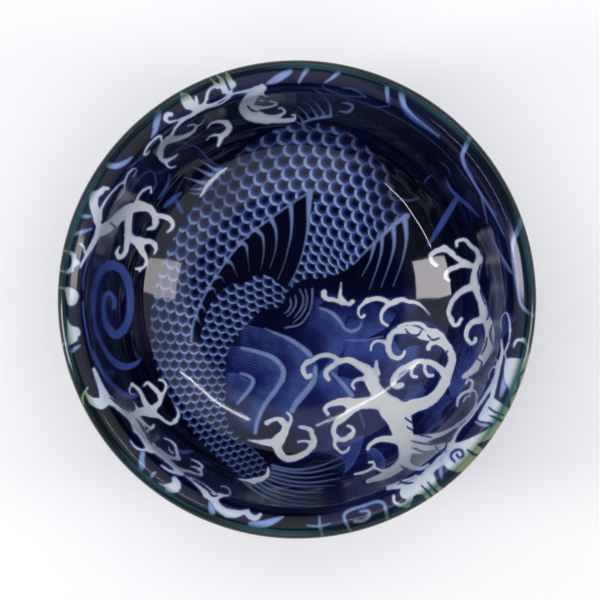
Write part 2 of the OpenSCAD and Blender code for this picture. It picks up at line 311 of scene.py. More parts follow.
    (1.0, 0.6, 0.5, [(-23.6, -33.7), (-21.5, -34), (-20, -34.5), (-19, -34.7)]),
    (0.5, 0.5, 0.3, [(-19, -34.7), (-18.9, -34.1), (-19.7, -33.4), (-21, -33)]),
    (0.5, 0.5, 0.3, [(-19.4, -33.6), (-18.7, -33.1), (-19.5, -32.3), (-21, -31.6)]),
    (0.4, 0.6, 0.6, [(-26.8, -32.9), (-25.4, -33.8), (-23.8, -34.3), (-22.6, -34.6)]),
    (0.3, 0.6, 1.2, [(-22, -34.9), (-20.5, -36.1), (-19, -37.4), (-17.9, -38.6)]),
    (1.2, 1.6, 1.0, [(-17.9, -38.6), (-16.6, -39.2), (-15.2, -38.8)]),
    (0.5, 0.5, 0.4, [(-15.4, -38.7), (-14, -38.8), (-13.2, -38.4), (-13.5, -37.5), (-14.3, -37), (-15, -37)]),
    (0.3, 0.3, 0.5, [(-21, -35.2), (-18.5, -36.5), (-16.4, -38.2)]),
    (1.1, 1.2, 1.5, [(-16.5, -39.4), (-15.6, -40.8), (-14.2, -42), (-12.5, -42.4)]),
    (1.4, 1.0, 0.6, [(-12.5, -42.4), (-11, -42.3), (-9.7, -41.8)]),
    (0.6, 0.9, 0.5, [(-9.8, -41.9), (-9.2, -42.7), (-8.2, -43.2), (-7.2, -42.6)]),
    (0.4, 1.0, 1.5, [(-24.6, -35.4), (-24, -36.3), (-23.9, -37.2)]),
    (1.2, 1.5, 0.9, [(-23.7, -37), (-24.4, -37.6), (-25.6, -37.7)]),
    # Lower right, between the pool and the lip
    (0.4, 0.5, 0.7, [(35.6, -19.2), (35.3, -20.8), (33.9, -23), (31.7, -24.9)]),
    (0.7, 1.2, 2.6, [(31.7, -24.9), (28.9, -26.5), (25.6, -27.4), (22, -28)]),
    (0.6, 0.7, 0.5, [(31.7, -21), (31.9, -19.7), (32.8, -18.6), (34.1, -18.1), (35.2, -18.1), (35.6, -19.2)]),
    (0.5, 0.6, 0.5, [(33.4, -16.6), (33.9, -15.9), (34.7, -16.2), (34.6, -17.3), (34.1, -18.1)]),
    (0.4, 0.4, 0.5, [(32.9, -20.2), (33.4, -19.4), (34.2, -19)]),
    (0.4, 0.8, 0.6, [(39.6, -12), (39.7, -13.7), (39.3, -15.3), (38.5, -17), (37, -19.4), (35.6, -21.4)]),
    (0.6, 0.5, 0.9, [(35.6, -21.4), (34.3, -23.4), (32.6, -25.2), (31.5, -26.7), (30.8, -28.3)]),
    (0.4, 0.4, 0.3, [(39.8, -13.3), (38.7, -13.5), (38, -14.6), (37.9, -15.7)]),
    (2.6, 2.2, 1.6, [(21.6, -29.2), (25, -29.4), (28, -29.2), (30.8, -29)]),
    (1.4, 1.0, 0.5, [(30.6, -29.3), (32.6, -28.7), (35.4, -27.7)]),
    (1.0, 1.0, 1.4, [(30.6, -29.4), (29.8, -31.3), (28.4, -32.5), (26.2, -34)]),
    (1.4, 1.6, 2.6, [(26.2, -34), (24.7, -35.4), (23, -37), (21.6, -38.2)]),
    (1.6, 1.0, 0.5, [(21, -32), (22.8, -33.2), (24.6, -33.4), (26, -32.6)]),
    (0.5, 0.5, 0.4, [(18, -37.4), (20, -36.2), (22, -35.6), (23.6, -34.8)]),
    # Tail root
    (0.6, 1.0, 1.2, [(-5.7, -33.4), (-5.9, -34.7), (-7, -35.5), (-8.6, -35.9)]),
    (1.0, 0.6, 0.3, [(-8.6, -35.9), (-10, -35.8), (-11.5, -35.5)]),
]

# Foam on the lip, as (angle in degrees, radius).
LIP_FOAM = [
    (0.5, 0.6, 0.6, [(149.6, 43.4), (150, 44.3), (151.4, 44.6)]),
    (1.0, 1.7, 1.4, [(151.2, 44.2), (153, 44.8), (155, 44.3), (156.5, 43.4), (158.4, 42.6)]),
    (0.4, 0.5, 0.4, [(165.6, 44.4), (166, 43.6), (167.4, 43.1)]),
    (1.4, 0.8, 0.6, [(106.6, 44.4), (107, 45.8), (107.4, 47.4)]),
    (1.2, 0.8, 0.6, [(108.4, 44.4), (109, 45.8), (109.6, 47.4)]),
    (0.9, 0.6, 0.5, [(110.4, 45), (110.9, 46.2), (111.5, 47.4)]),
    (1.3, 1.0, 0.5, [(119.4, 44), (119.7, 45.6), (119.2, 47)]),
    *same_width(0.9, 0.6, 0.4, [
        [(168.8, 45), (168.2, 46.4), (168.4, 48)],
        [(172.6, 45), (173.2, 46.4), (172.8, 48)],
        [(178.2, 45), (177.2, 46.4), (177.4, 48)],
    ]),
    (1.2, 1.0, 0.6, [(190, 44.6), (190.8, 46.2), (190.8, 48)]),
    (0.4, 0.5, 0.4, [(202.9, 45), (203.6, 45.7), (204.6, 45.5)]),
    (0.7, 1.6, 1.7, [(204.9, 45.7), (206.4, 45.1), (207.6, 44), (208.2, 43.2)]),
    (1.5, 1.0, 0.7, [(208, 43.2), (206, 42.6), (203, 42.4), (199, 42.5)]),
    (0.4, 0.5, 0.9, [(233.2, 45.5), (234.4, 45.3), (235.6, 44.9)]),
    (1.2, 1.9, 0.9, [(235.6, 44.8), (236.9, 44), (235.8, 42.9)]),
    (0.7, 1.2, 1.5, [(246.4, 42.4), (248, 43.5), (250, 44.3), (252, 44.5)]),
    (1.5, 1.2, 0.5, [(252, 44.5), (254, 44.1), (256, 43.3)]),
    (0.5, 1.0, 0.5, [(256, 43.3), (257.5, 43.9), (259.4, 44.1), (260.3, 43.2)]),
    (0.7, 0.8, 1.2, [(296.2, 43.4), (295.7, 44.4), (296.6, 45.5), (298.2, 46.1)]),
    (1.2, 1.2, 1.2, [(298.2, 46.1), (299.8, 45.2), (301, 44.4)]),
    (1.0, 0.9, 1.0, [(296, 41.3), (299, 42.3), (303, 42.8), (307.5, 43)]),
    (0.8, 0.8, 0.8, [(307.5, 43), (310.4, 42.3), (313.6, 42.2)]),
    (1.2, 1.8, 2.6, [(318, 43.4), (321, 44.6), (324, 46), (327.4, 47.6)]),
    (0.5, 0.7, 0.7, [(344, 46.2), (346, 46.9), (348.5, 46.7), (349.9, 45.5)]),
    (0.7, 0.6, 0.5, [(349.9, 45.5), (349.4, 44.2), (347.7, 43.9)]),
    (0.8, 0.9, 0.4, [(333, 43.2), (337, 42.6), (341, 42.1), (345, 42), (349, 41.2)]),
    (0.6, 0.6, 0.6, [(203.6, 45.9), (204.6, 46.8), (206, 47.2)]),
]
# Wide patches of foam on the lip.
LIP_FOAM_AREAS = [
    [(167.8, 45.7), (169.4, 44.5), (170.4, 43.3), (171.6, 44.3), (173.6, 45.7), (170.6, 45.2)],
    [(177, 45.8), (177.7, 43.6), (179.6, 43.2), (181.4, 44), (181.2, 45.4)],
    [(184.4, 45.7), (186.4, 45), (187.4, 43.5), (189.2, 43.4), (190.4, 45), (191, 46.4), (187.6, 45.9)],
    [(299.4, 45), (299.8, 43.6), (303, 42.8), (307.6, 42.8), (308, 44.2), (307.4, 46), (307.8, 48.4),
     (303.4, 48.4), (302.6, 46), (301, 45.2)],
    [(312, 45.6), (311.6, 43.6), (313, 42.4), (317, 42.4), (319.4, 43.4), (321, 45.4), (320.6, 48.4),
     (315, 48.4)],
    [(326.4, 43), (329, 42.6), (333, 42.8), (333.2, 45), (332, 48.4), (327.6, 48.4), (327.6, 45.6)],
    [(337, 45.6), (339, 43.9), (343.6, 43), (345, 44.4), (345.4, 46.4), (347, 48.2), (340, 48.4),
     (333.6, 47.6)],
]

# Blue lines over the foam, as (angle in degrees, radius).
LIP_LINES = [
    (0.3, 0.45, 0.5, [(303.8, 44.4), (304.2, 45.8), (304.4, 48)]),
    (0.3, 0.45, 0.5, [(305.6, 44.6), (305.8, 46), (306, 48)]),
    (0.4, 0.5, 0.4, [(314.2, 44.8), (314.4, 43.5), (316, 43.2), (317.4, 43.9), (317, 45), (315.8, 44.9),
                     (315.8, 44)]),
    (0.3, 0.5, 0.5, [(318.6, 45), (318.8, 46.4), (319.4, 48)]),
    (0.3, 0.5, 0.5, [(329, 44.6), (329.2, 46), (329.4, 48)]),
    (0.3, 0.4, 0.4, [(330.6, 43.6), (330.4, 45), (330.8, 47)]),
    (0.3, 0.45, 0.4, [(335.6, 46.4), (338, 47.2), (341, 46.6), (343, 47.4)]),
    (0.4, 0.4, 0.3, [(107.8, 43.6), (108, 45), (108.3, 47)]),
]

# Blue lines over the foam trunks.
FOAM_LINES = [
    *same_width(0.2, 0.4, 0.2, [
        [(21.8, -25.2), (24, -26.6), (26.6, -27.3)],
        [(22.6, -28), (25.6, -28.6), (28.4, -28.3), (30, -27.6)],
        [(23, -29.4), (25.4, -30.2), (27.6, -29.8)],
        [(-31.8, -23.6), (-30.5, -25.4), (-29.5, -27.2), (-28.8, -28.6)],
    ]),
    *same_width(0.2, 0.35, 0.2, [
        [(-37, -19.4), (-35, -21), (-33.2, -22.2)],
        [(36.6, 4), (36.4, 1.6), (37.2, -1)],
        [(36.3, 7), (35.8, 5), (36.1, 3)],
        [(37.4, -0.6), (38, -2.6), (37.6, -4)],
        [(38.6, -5), (38.2, -7), (38.8, -9)],
        [(37.6, -7.6), (37.2, -9.4), (36.4, -11)],
        [(31.4, 9), (32.4, 8.6), (33.4, 8)],
        [(35.6, -11.6), (36.6, -12.6), (36, -14)],
        [(27, -28.2), (28.4, -27.7), (29.5, -28.4), (29.2, -29.6), (28, -29.9), (27.5, -29.1)],
        [(21.4, -23.4), (22.8, -24.4), (24.6, -24.8)],
        [(20.6, -33), (22.6, -34.2), (24.6, -34.6)],
        [(19.6, -35.4), (21.4, -36.4), (23, -36.2)],
        [(29.8, -10.2), (29.2, -11.2), (29.8, -12.2)],
        [(27.4, -9), (27.8, -10.2), (28.8, -10.2)],
        [(-37, 15.2), (-36, 14.2), (-36.8, 13.2)],
        [(-9.8, 38.4), (-9.2, 37.6), (-8, 37.2)],
    ]),
    (0.2, 0.4, 0.2, [(21.4, -5.8), (22.4, -7), (24, -7), (24.6, -6)]),
    (0.2, 0.4, 0.2, [(25.8, -7), (26.8, -8), (28.2, -7.6)]),
    (0.2, 0.35, 0.2, [(-17.4, -38.2), (-16.6, -38.9), (-15.8, -38.8)]),
]

# Light blue lines: fin rays, wave ridges and patches on the lip.
PALE = [
    (0.3, 0.9, 1.2, [(-6.5, -5.7), (-4, -6.8), (-2, -7.6), (0, -8.8), (1.8, -10.2), (2.8, -11.4)]),
    (0.7, 1.1, 1.2, [(-11, -9.6), (-8, -10.3), (-5, -11.4), (-3.4, -12.8), (-2.7, -14.3), (-3, -16)]),
    (1.2, 1.1, 0.9, [(-3, -16), (-4.3, -18), (-6.5, -21), (-7.8, -24), (-8.3, -26.4)]),
    (0.6, 1.0, 0.6, [(-11.2, -14.6), (-9.5, -15.2), (-8.7, -16.2), (-9.6, -18), (-11.8, -20.6)]),
    (0.5, 0.9, 0.7, [(4.5, -1.7), (6, -2.2), (7.5, -3.2), (8.8, -4.8), (9.2, -5.7)]),
    (0.7, 0.8, 0.4, [(9.2, -5.5), (10, -6.1), (11, -6.3), (12.3, -5.6), (12.8, -4.5)]),
    (0.6, 1.0, 1.2, [(6.8, -14.3), (7.8, -15.4), (9.3, -17), (10.8, -19)]),
    (1.0, 1.4, 1.2, [(3.6, -13.5), (3.3, -16), (1.5, -18.5), (-0.2, -20.5), (-1, -22)]),
    (0.3, 0.4, 0.3, [(9.5, -8), (13, -8.1), (17, -7.3)]),
    # Back fin: front edge and rays
    (0.5, 0.5, 0.5, [(3, 21.6), (-1.4, 18.8), (-6.3, 15.3), (-10.7, 11.8), (-14.2, 7.4)]),
    (0.5, 0.5, 0.7, [(-14.2, 7.4), (-17.2, 2.9), (-19.2, -1.1), (-20.6, -5), (-21, -8.2)]),
    (1.5, 0.5, 0.3, [(2.5, 21.3), (2.3, 18), (2.1, 14), (1.3, 10), (0.2, 6.5), (-1.6, 2.8)]),
    *same_width(1.1, 0.35, 0.15, [
        [(-1.3, 18.7), (-1.1, 16.5), (-1.2, 13), (-1.8, 10), (-2.6, 7), (-3.8, 4)],
        [(-5.2, 16.1), (-4.3, 14), (-4.1, 11.6), (-4.5, 9), (-5.4, 6.2)],
        [(-8.2, 13.9), (-6.9, 12.6), (-6.6, 10.5), (-6.7, 8.4), (-7.2, 6)],
        [(-11.2, 11.3), (-10.1, 10.6), (-9.8, 8.6), (-9.5, 5.6)],
        [(-14, 7.8), (-12.9, 7), (-12.3, 5.6), (-11.8, 4.6)],
    ]),
    (1.0, 0.35, 0.15, [(-16.2, 4.4), (-15, 4.4), (-14.4, 3.4)]),
    (1.0, 0.35, 0.15, [(-17.7, 2.1), (-16.6, 2.2), (-16, 1)]),
    (1.0, 0.4, 0.1, [(-19.2, -1.2), (-18.4, -1.8), (-18.2, -2.6)]),
    (1.0, 0.4, 0.1, [(-20, -3.4), (-19.5, -4.2), (-19.1, -4.9)]),
    # Second fin
    (1.2, 0.7, 0.4, [(21.8, 16.6), (19.4, 15), (16.4, 12.2), (13.6, 9.6), (11.4, 7.2)]),
    (1.0, 0.4, 0.2, [(16.8, 12.6), (16.7, 9.8), (15.9, 6.5), (14.3, 2)]),
    (0.9, 0.4, 0.2, [(15.3, 11), (14.4, 7.7), (12.8, 4.6)]),
    (1.2, 0.5, 0.2, [(19, 14.6), (19.2, 11), (18.4, 7.4), (16.6, 2.4)]),
    (1.4, 0.5, 0.2, [(21.3, 16.2), (21.6, 12), (20.8, 7.6), (19, 2.6)]),
    # Comb fin
    *same_width(1.4, 0.6, 0.1, [
        [(-14.8, 25.4), (-16.4, 25.8), (-17.6, 26.6), (-19.4, 27.6)],
        [(-16, 24.3), (-17.8, 24.9), (-19.4, 25.7), (-21, 26.3)],
        [(-17.3, 23), (-19.2, 23.2), (-21, 23.8), (-22.5, 24.3)],
    ]),
    (1.2, 0.5, 0.1, [(-18.1, 21.9), (-20, 21.8), (-21.5, 22)]),
    (0.6, 0.4, 0.1, [(-18.6, 20.9), (-20, 20.9), (-21.5, 21.1)]),
    (0.3, 0.8, 0.4, [(8.8, 38.9), (9.7, 38.9), (10.6, 38.6), (11, 38.1), (10.4, 37.3), (9.5, 37.1),
                     (8.5, 37.3)]),
    # Small belly fin
    (0.5, 0.4, 0.4, [(3, 2.1), (3, 0.4), (2.6, -2), (1.6, -3.8), (0.3, -5), (-2.4, -5.6)]),
    *same_width(0.3, 0.4, 0.2, [
        [(0.5, 2), (1.2, 0.3), (0.8, -1.7), (-0.6, -3.6)],
        [(-0.4, 0.8), (-0.2, -0.8), (-1, -2.4), (-2, -3.4)],
        [(1.6, 2), (2, 0.4), (1.7, -1.6), (0.6, -3.4), (-0.8, -4.6)],
        [(-1.4, 0.2), (-1.2, -1), (-1.8, -2.2), (-2.6, -2.8)],
    ]),
    # Fan fin at the top
    (0.2, 0.6, 0.7, [(-0.2, 35.2), (0.7, 34.8), (1.8, 35.3), (3.5, 35.8), (5.2, 36.1), (6.6, 36.3)]),
    (0.7, 0.3, 0.1, [(6.7, 36.5), (6.6, 38), (6, 39.3), (4.5, 41), (3.2, 41.6)]),
    *same_width(0.6, 0.3, 0.1, [
        [(5.4, 36.3), (4.8, 37.5), (3.5, 39), (2, 40)],
        [(4, 36.1), (3.5, 37), (2.5, 38.3), (1, 39.4)],
        [(2.4, 35.7), (1.9, 36.6), (1, 37.5), (-0.2, 38.5)],
    ]),
    (0.5, 0.3, 0.1, [(1.2, 35.2), (0.5, 36.2), (-0.6, 37.2)]),
    # Tail rays
    *same_width(0.5, 0.4, 0.1, [
        [(-5, -32.8), (-2, -33.5), (1, -33.6), (5, -32.8), (9, -31)],
        [(-4.9, -33.4), (-1, -34.2), (3, -34.2), (7, -33.2), (10.5, -31.6)],
        [(-5.1, -34.2), (-1, -35.1), (3, -35.2), (7.5, -34.4)],
        [(-5.4, -34.9), (-1, -36), (3, -36.2), (8.5, -35.4)],
        [(-5.9, -35.4), (-3, -36.4), (1, -37), (7.5, -36.8)],
        [(-7, -35.7), (-4, -37.2), (0.6, -38.1), (5.6, -38.2)],
        [(-8, -36), (-5, -37.8), (-0.3, -38.9), (4.2, -39.3)],
        [(-9.2, -36), (-6.3, -38), (-1.5, -39.7), (3.6, -40.3)],
        [(-10.4, -35.8), (-7.8, -38.2), (-3, -40.2), (2.6, -41)],
    ]),
    (0.4, 0.3, 0.1, [(-11.2, -35.6), (-9.4, -37.2), (-7, -38.8), (-4, -40.4)]),
    # Pale lines up the wall
    (1.2, 1.3, 1.2, [(-16.8, -40.2), (-16.8, -41), (-16.9, -41.8)]),
    (0.9, 1.0, 0.8, [(-30.4, -30.4), (-30.6, -31.6), (-30.4, -33)]),
    (0.8, 0.9, 0.6, [(-28.9, -35.2), (-28.4, -34.5), (-28, -34.2)]),
]

# Light blue patches on the lip, as (angle in degrees, radius).
LIP_PALE = [
    (0.9, 0.7, 0.7, [(356, 47.2), (357.2, 45.4), (359, 44.3), (362, 43.8), (366, 43.5), (370, 43.5)]),
    (0.7, 1.0, 1.4, [(370, 43.5), (373, 43.8), (375.4, 44.5), (377, 45.6), (379.4, 47.2)]),
    (0.3, 0.5, 0.3, [(7, 42.8), (10, 41.9), (13, 41.1), (16, 40.6), (20, 40.4)]),
    (0.2, 0.4, 0.5, [(17, 42.9), (22, 42.5), (28, 42), (33, 41.9), (38, 42.3)]),
    (0.5, 0.9, 1.2, [(38, 42.3), (40.8, 43.2), (41.9, 44.6), (43.2, 47)]),
    (0.3, 0.4, 0.3, [(22, 40.6), (26, 41.2), (30, 41.9)]),
    (0.3, 0.5, 1.4, [(49, 42.9), (54, 42.8), (58, 43.1), (61, 43.9), (63, 45.6)]),
    (1.1, 0.8, 0.5, [(67, 45.6), (66.2, 44.3), (65.4, 43)]),
    (1.1, 0.8, 0.4, [(79.6, 45.7), (81, 44.4), (82.6, 43.3)]),
    (1.1, 0.9, 0.6, [(87.4, 45.7), (88.5, 44.4), (89.5, 43)]),
    (1.0, 1.7, 0.5, [(91.6, 45.2), (93.4, 44.5), (95.6, 43.7), (98, 43.1)]),
    (1.2, 1.4, 0.4, [(126.4, 46), (128, 45), (130, 43.7), (132, 43.1)]),
    (1.2, 1.2, 0.4, [(144.6, 45.8), (143.6, 44.5), (141.5, 43.5), (139, 43.1)]),
    (0.9, 0.9, 0.5, [(158.8, 45.6), (158.4, 44.7), (157.9, 43.8)]),
    (1.0, 0.9, 0.5, [(163.6, 46), (162.4, 44.4), (161, 43)]),
    (0.9, 0.9, 0.5, [(193, 45.8), (192.4, 44.8), (192, 43.9)]),
    (1.2, 1.1, 0.5, [(227.4, 45.6), (226, 44.3), (224.4, 43.1)]),
    (1.3, 1.2, 0.7, [(248.4, 45.4), (247.4, 44.2), (246.6, 43.2)]),
    (1.2, 1.6, 0.4, [(258.4, 45.4), (261.4, 45), (263.6, 44.2), (266.4, 43.1)]),
    (0.7, 0.7, 0.5, [(276.2, 47.4), (275.8, 45.2), (275.9, 43.2)]),
    (0.4, 0.6, 0.4, [(272.6, 44.8), (275.6, 45.1), (278.6, 44.8)]),
    (0.7, 0.8, 0.7, [(283, 47.2), (282.4, 45.2), (282.3, 43.8), (284, 43), (288, 42.9)]),
    (0.7, 0.8, 0.9, [(288, 42.9), (291.6, 43), (293, 43.9), (292.9, 45.2), (292.4, 47.2)]),
    (0.8, 0.9, 0.6, [(284.6, 45.4), (286.6, 45.7), (288.5, 45.1), (288.5, 44.1), (286.6, 43.8)]),
    (0.6, 1.4, 2.0, [(334.6, 44.6), (337, 44.4), (340, 44.4)]),
    (0.6, 0.9, 0.9, [(309, 45.6), (310, 44.2), (311.4, 43.2)]),
    (0.6, 0.8, 0.8, [(325.6, 42.9), (325.8, 44), (326.6, 45.4)]),
]

# Mid blue shapes: the water spiral, faint curls and ribbons.
FAINT = [
    (1.9, 1.6, 1.6, [(-36.5, 6.9), (-34.6, 5.8), (-33.4, 3), (-33, 0), (-33.3, -3.6), (-34.3, -6)]),
    (1.6, 1.7, 1.0, [(-34.3, -6), (-35.8, -7), (-37.3, -5.8), (-38.1, -3.8)]),
    (1.0, 1.0, 1.1, [(-38.1, -3.8), (-38.3, -1.4), (-38.1, 0.5), (-37.3, 1.3), (-36.5, 0.6), (-36.1, -0.5),
                     (-36.3, -1.5)]),
    (1.9, 1.3, 1.0, [(-36.5, 6.9), (-38.6, 5.8), (-39.8, 3.2), (-40.3, 0), (-40.3, -3)]),
    (0.7, 0.9, 1.2, [(-40.3, -3), (-39.8, -6), (-38.9, -8.3), (-37.8, -10.4), (-36.6, -12)]),
    (1.2, 1.4, 0.3, [(-36.6, -12), (-35.2, -13), (-33.6, -13.3), (-31.8, -12.6), (-30.8, -11.6)]),
    (0.5, 0.4, 0.3, [(-42.4, -0.5), (-42.2, -3), (-41.5, -7), (-40.6, -10.5), (-39.6, -13)]),
    (0.4, 0.4, 0.4, [(-42.3, 2), (-42.3, 4), (-41.6, 7), (-40.6, 9.6), (-39.4, 11.4)]),
    (0.4, 0.9, 1.1, [(-40.4, -10), (-39, -13.4), (-37, -16.4), (-35, -18.3)]),
    (1.1, 1.2, 0.5, [(-35, -18.3), (-33.6, -19), (-32.4, -19.2), (-31.6, -18.9)]),
    (1.0, 1.1, 0.9, [(9.3, -6.5), (9.2, -8.5), (8.6, -10), (8, -11)]),
    (1.0, 1.3, 0.6, [(31.6, 20), (29.8, 17), (28, 14), (26, 10.8)]),
    (0.9, 1.1, 0.3, [(20.5, 40.3), (20.6, 39.4), (21.2, 38), (22.3, 36.6), (24, 35.2), (26, 33.8),
                     (28.2, 32)]),
    (0.6, 1.0, 0.5, [(34.2, 31.8), (33.5, 30.6), (32.8, 29.2), (32.7, 27.9), (33.3, 26.5), (34.5, 24.5)]),
    (0.5, 0.4, 0.5, [(34.5, 24.5), (35.8, 22), (37.3, 19.8), (39.4, 16.6)]),
    (0.2, 0.9, 0.5, [(29.4, 24.2), (30.3, 22), (31.5, 20.7), (33, 19.3), (34.5, 18), (36, 16.4)]),
    (0.5, 0.6, 0.4, [(17.9, 41.9), (17.6, 41), (18.2, 39.8), (18.3, 38.6)]),
    (0.3, 0.4, 0.4, [(37.8, 13.5), (38.7, 10.5), (40.2, 8), (42, 5.6)]),
    (0.2, 0.4, 0.3, [(28.5, 27.2), (29.8, 26), (30.4, 24.6)]),
    (0.2, 0.4, 0.2, [(25.2, 23), (25.7, 24), (26.7, 24.6)]),
    (0.3, 0.5, 0.2, [(20.2, 20), (22, 19.6), (24.2, 20.1)]),
    (0.3, 0.3, 0.2, [(18.2, 38.3), (16.5, 38.1), (14, 38.2)]),
    (0.3, 0.3, 0.2, [(5, 42.3), (6.2, 41.4), (9, 40.4), (11, 40.2), (13.6, 40.1)]),
    (0.2, 0.4, 0.3, [(9, 41.8), (10.5, 41.8), (12, 41.2), (13.6, 40.1)]),
    (0.2, 0.4, 0.3, [(-21.6, 30.6), (-20, 30.2), (-19, 29.4), (-17.5, 27.7), (-16, 26.6), (-14.4, 26)]),
    (0.3, 0.5, 0.2, [(-33, 21.4), (-31.5, 23.8), (-29.6, 25.3), (-28.3, 25), (-28, 23), (-28.7, 21)]),
    (0.2, 0.6, 0.3, [(-25.2, 25), (-25.7, 22.6), (-27.4, 20)]),
    (0.4, 1.1, 0.7, [(-22.9, 21.2), (-24.4, 20), (-26.2, 18.4)]),
    (0.5, 1.0, 0.4, [(-23.9, 19.6), (-23.4, 18.4), (-22.6, 17)]),
    (0.2, 0.3, 0.2, [(-30.4, 28.2), (-32, 27), (-33.6, 26)]),
    (0.2, 0.4, 0.2, [(-23.8, 30.8), (-22.8, 31.1), (-21.8, 31)]),
    (0.3, 0.9, 0.3, [(-24.4, -29.9), (-22.5, -30.2), (-20.6, -30)]),
    (0.4, 0.6, 0.3, [(38.4, 7), (39.2, 4), (39.6, 1), (39.2, -1.5)]),
    (0.3, 0.5, 0.3, [(40.2, 6), (40.9, 3), (41, 0), (40.4, -2)]),
]

# Dark insides of the fins, which hide the scales.
FIN_PANELS = [
    [(3, 21.4), (-6.3, 15.2), (-14.2, 7.2), (-19.2, -1.2), (-20.9, -7.6), (-19.4, -8), (-18.2, -3.5),
     (-16.4, 0.3), (-13, 3), (-10.6, 3.2), (-8, 4.9), (-5.2, 4.4), (-2, 2.4), (0.2, 6.6), (1.5, 11),
     (2.2, 15)],
    [(3.2, 2.2), (3.1, 0), (2.5, -2.4), (0.4, -5), (-2.4, -5.7), (-3.9, -3), (-3.6, -1.6), (-2, 0), (0, 2.2)],
    [(21.9, 16.6), (16.4, 12.2), (11.4, 7.2), (11.4, 5), (13.4, 1.6), (18, 1.4), (22, 3), (23.6, 8)],
    [(6.8, 36.3), (6.6, 39), (3.4, 41.8), (-1.5, 41), (-3, 38.6), (-0.6, 36.4), (0.6, 34.8), (3.4, 35.8)],
    [(-5.6, -32.4), (-0.6, -32.6), (6, -30.6), (9.4, -32.4), (8.6, -35.4), (5.6, -38.6), (2.4, -41.4),
     (-3, -41), (-8.2, -38.6), (-11.6, -35.8), (-7, -35.8)],
]

# Outline of the fish's scaled body.
BODY = [
    (18.6, 24), (16.6, 27.4), (13.6, 30.6), (9.8, 33.3), (5, 34.8), (0.6, 35), (-5.6, 33), (-11.6, 29),
    (-16.8, 23.4), (-21.2, 17.4), (-24.8, 11.6), (-27.4, 5.2), (-28.8, -1), (-29.1, -7), (-28.2, -12.6),
    (-26, -18), (-23, -23), (-19.4, -27.8), (-15, -32), (-10.6, -35.4), (-7.6, -35.6), (-5.9, -33.6),
    (-7, -31), (-10.3, -28.2), (-13.2, -25.4), (-14.2, -21.6), (-14, -17.6), (-14.2, -13.8), (-13.2, -9.4),
    (-10.4, -5.6), (-7, -2.2), (-3.4, -1.4), (-1.6, 1.8), (1.4, 4), (5, 4.2), (8.8, 5.4), (13, 8),
    (17.4, 11.4), (21.6, 15.4), (20.6, 19.4),
]

# Line along which the rows of scales run, with the scales' width there.
SCALE_LINE = [
    (32, 31), (20, 27), (10, 24.4), (0, 19.8), (-8, 13), (-14, 5), (-17.5, -4), (-18.6, -12), (-18.4, -20),
    (-17, -28), (-15, -36), (-12.5, -44),
]
SCALE_WIDTH = [2.9, 2.85, 2.75, 2.6, 2.4, 2.2, 1.98, 1.9, 1.8, 1.62, 1.5, 1.4]
# Distance between rows as a share of the scales' width.
ROW_SHARE = 0.84

# How bright the scales' edges are, as (x, y, value).
GLOW = [
    (10, 20, 1), (4, 26, 1), (0, 22, 1), (-8, 22, 0.85), (-14, 15, 0.7), (-16, 20, 0.35), (-12, 26, 0.3),
    (-5, 31, 0.35), (3, 33, 0.3), (10, 32.4, 0.25), (13.5, 29.6, 0.28), (16.4, 26.4, 0.28),
    (18.4, 22.4, 0.28), (6.4, 29.4, 0.8), (12, 24.6, 0.9), (20.4, 18, 0.3), (-1, 29, 0.8), (-20, 12, 0.6),
    (-25, 2, 0.55), (-27, -8, 0.4), (-22, -6, 0.75), (-22, -14, 0.75), (-26, -16, 0.5), (-19, -22, 0.7),
    (-17, -27, 0.55), (-20, -27, 0.35), (-13, -31, 0.45), (-9, -34, 0.4), (-16, -8, 0.6), (-13, -1, 0.6),
    (-8, 1, 0.7), (-4, 1, 0.5), (4, 8, 0.75), (10, 10, 0.8), (16, 16, 0.7), (6, 14, 0.9), (-15, -15, 0.5),
    (20, 16, 0.4),
]

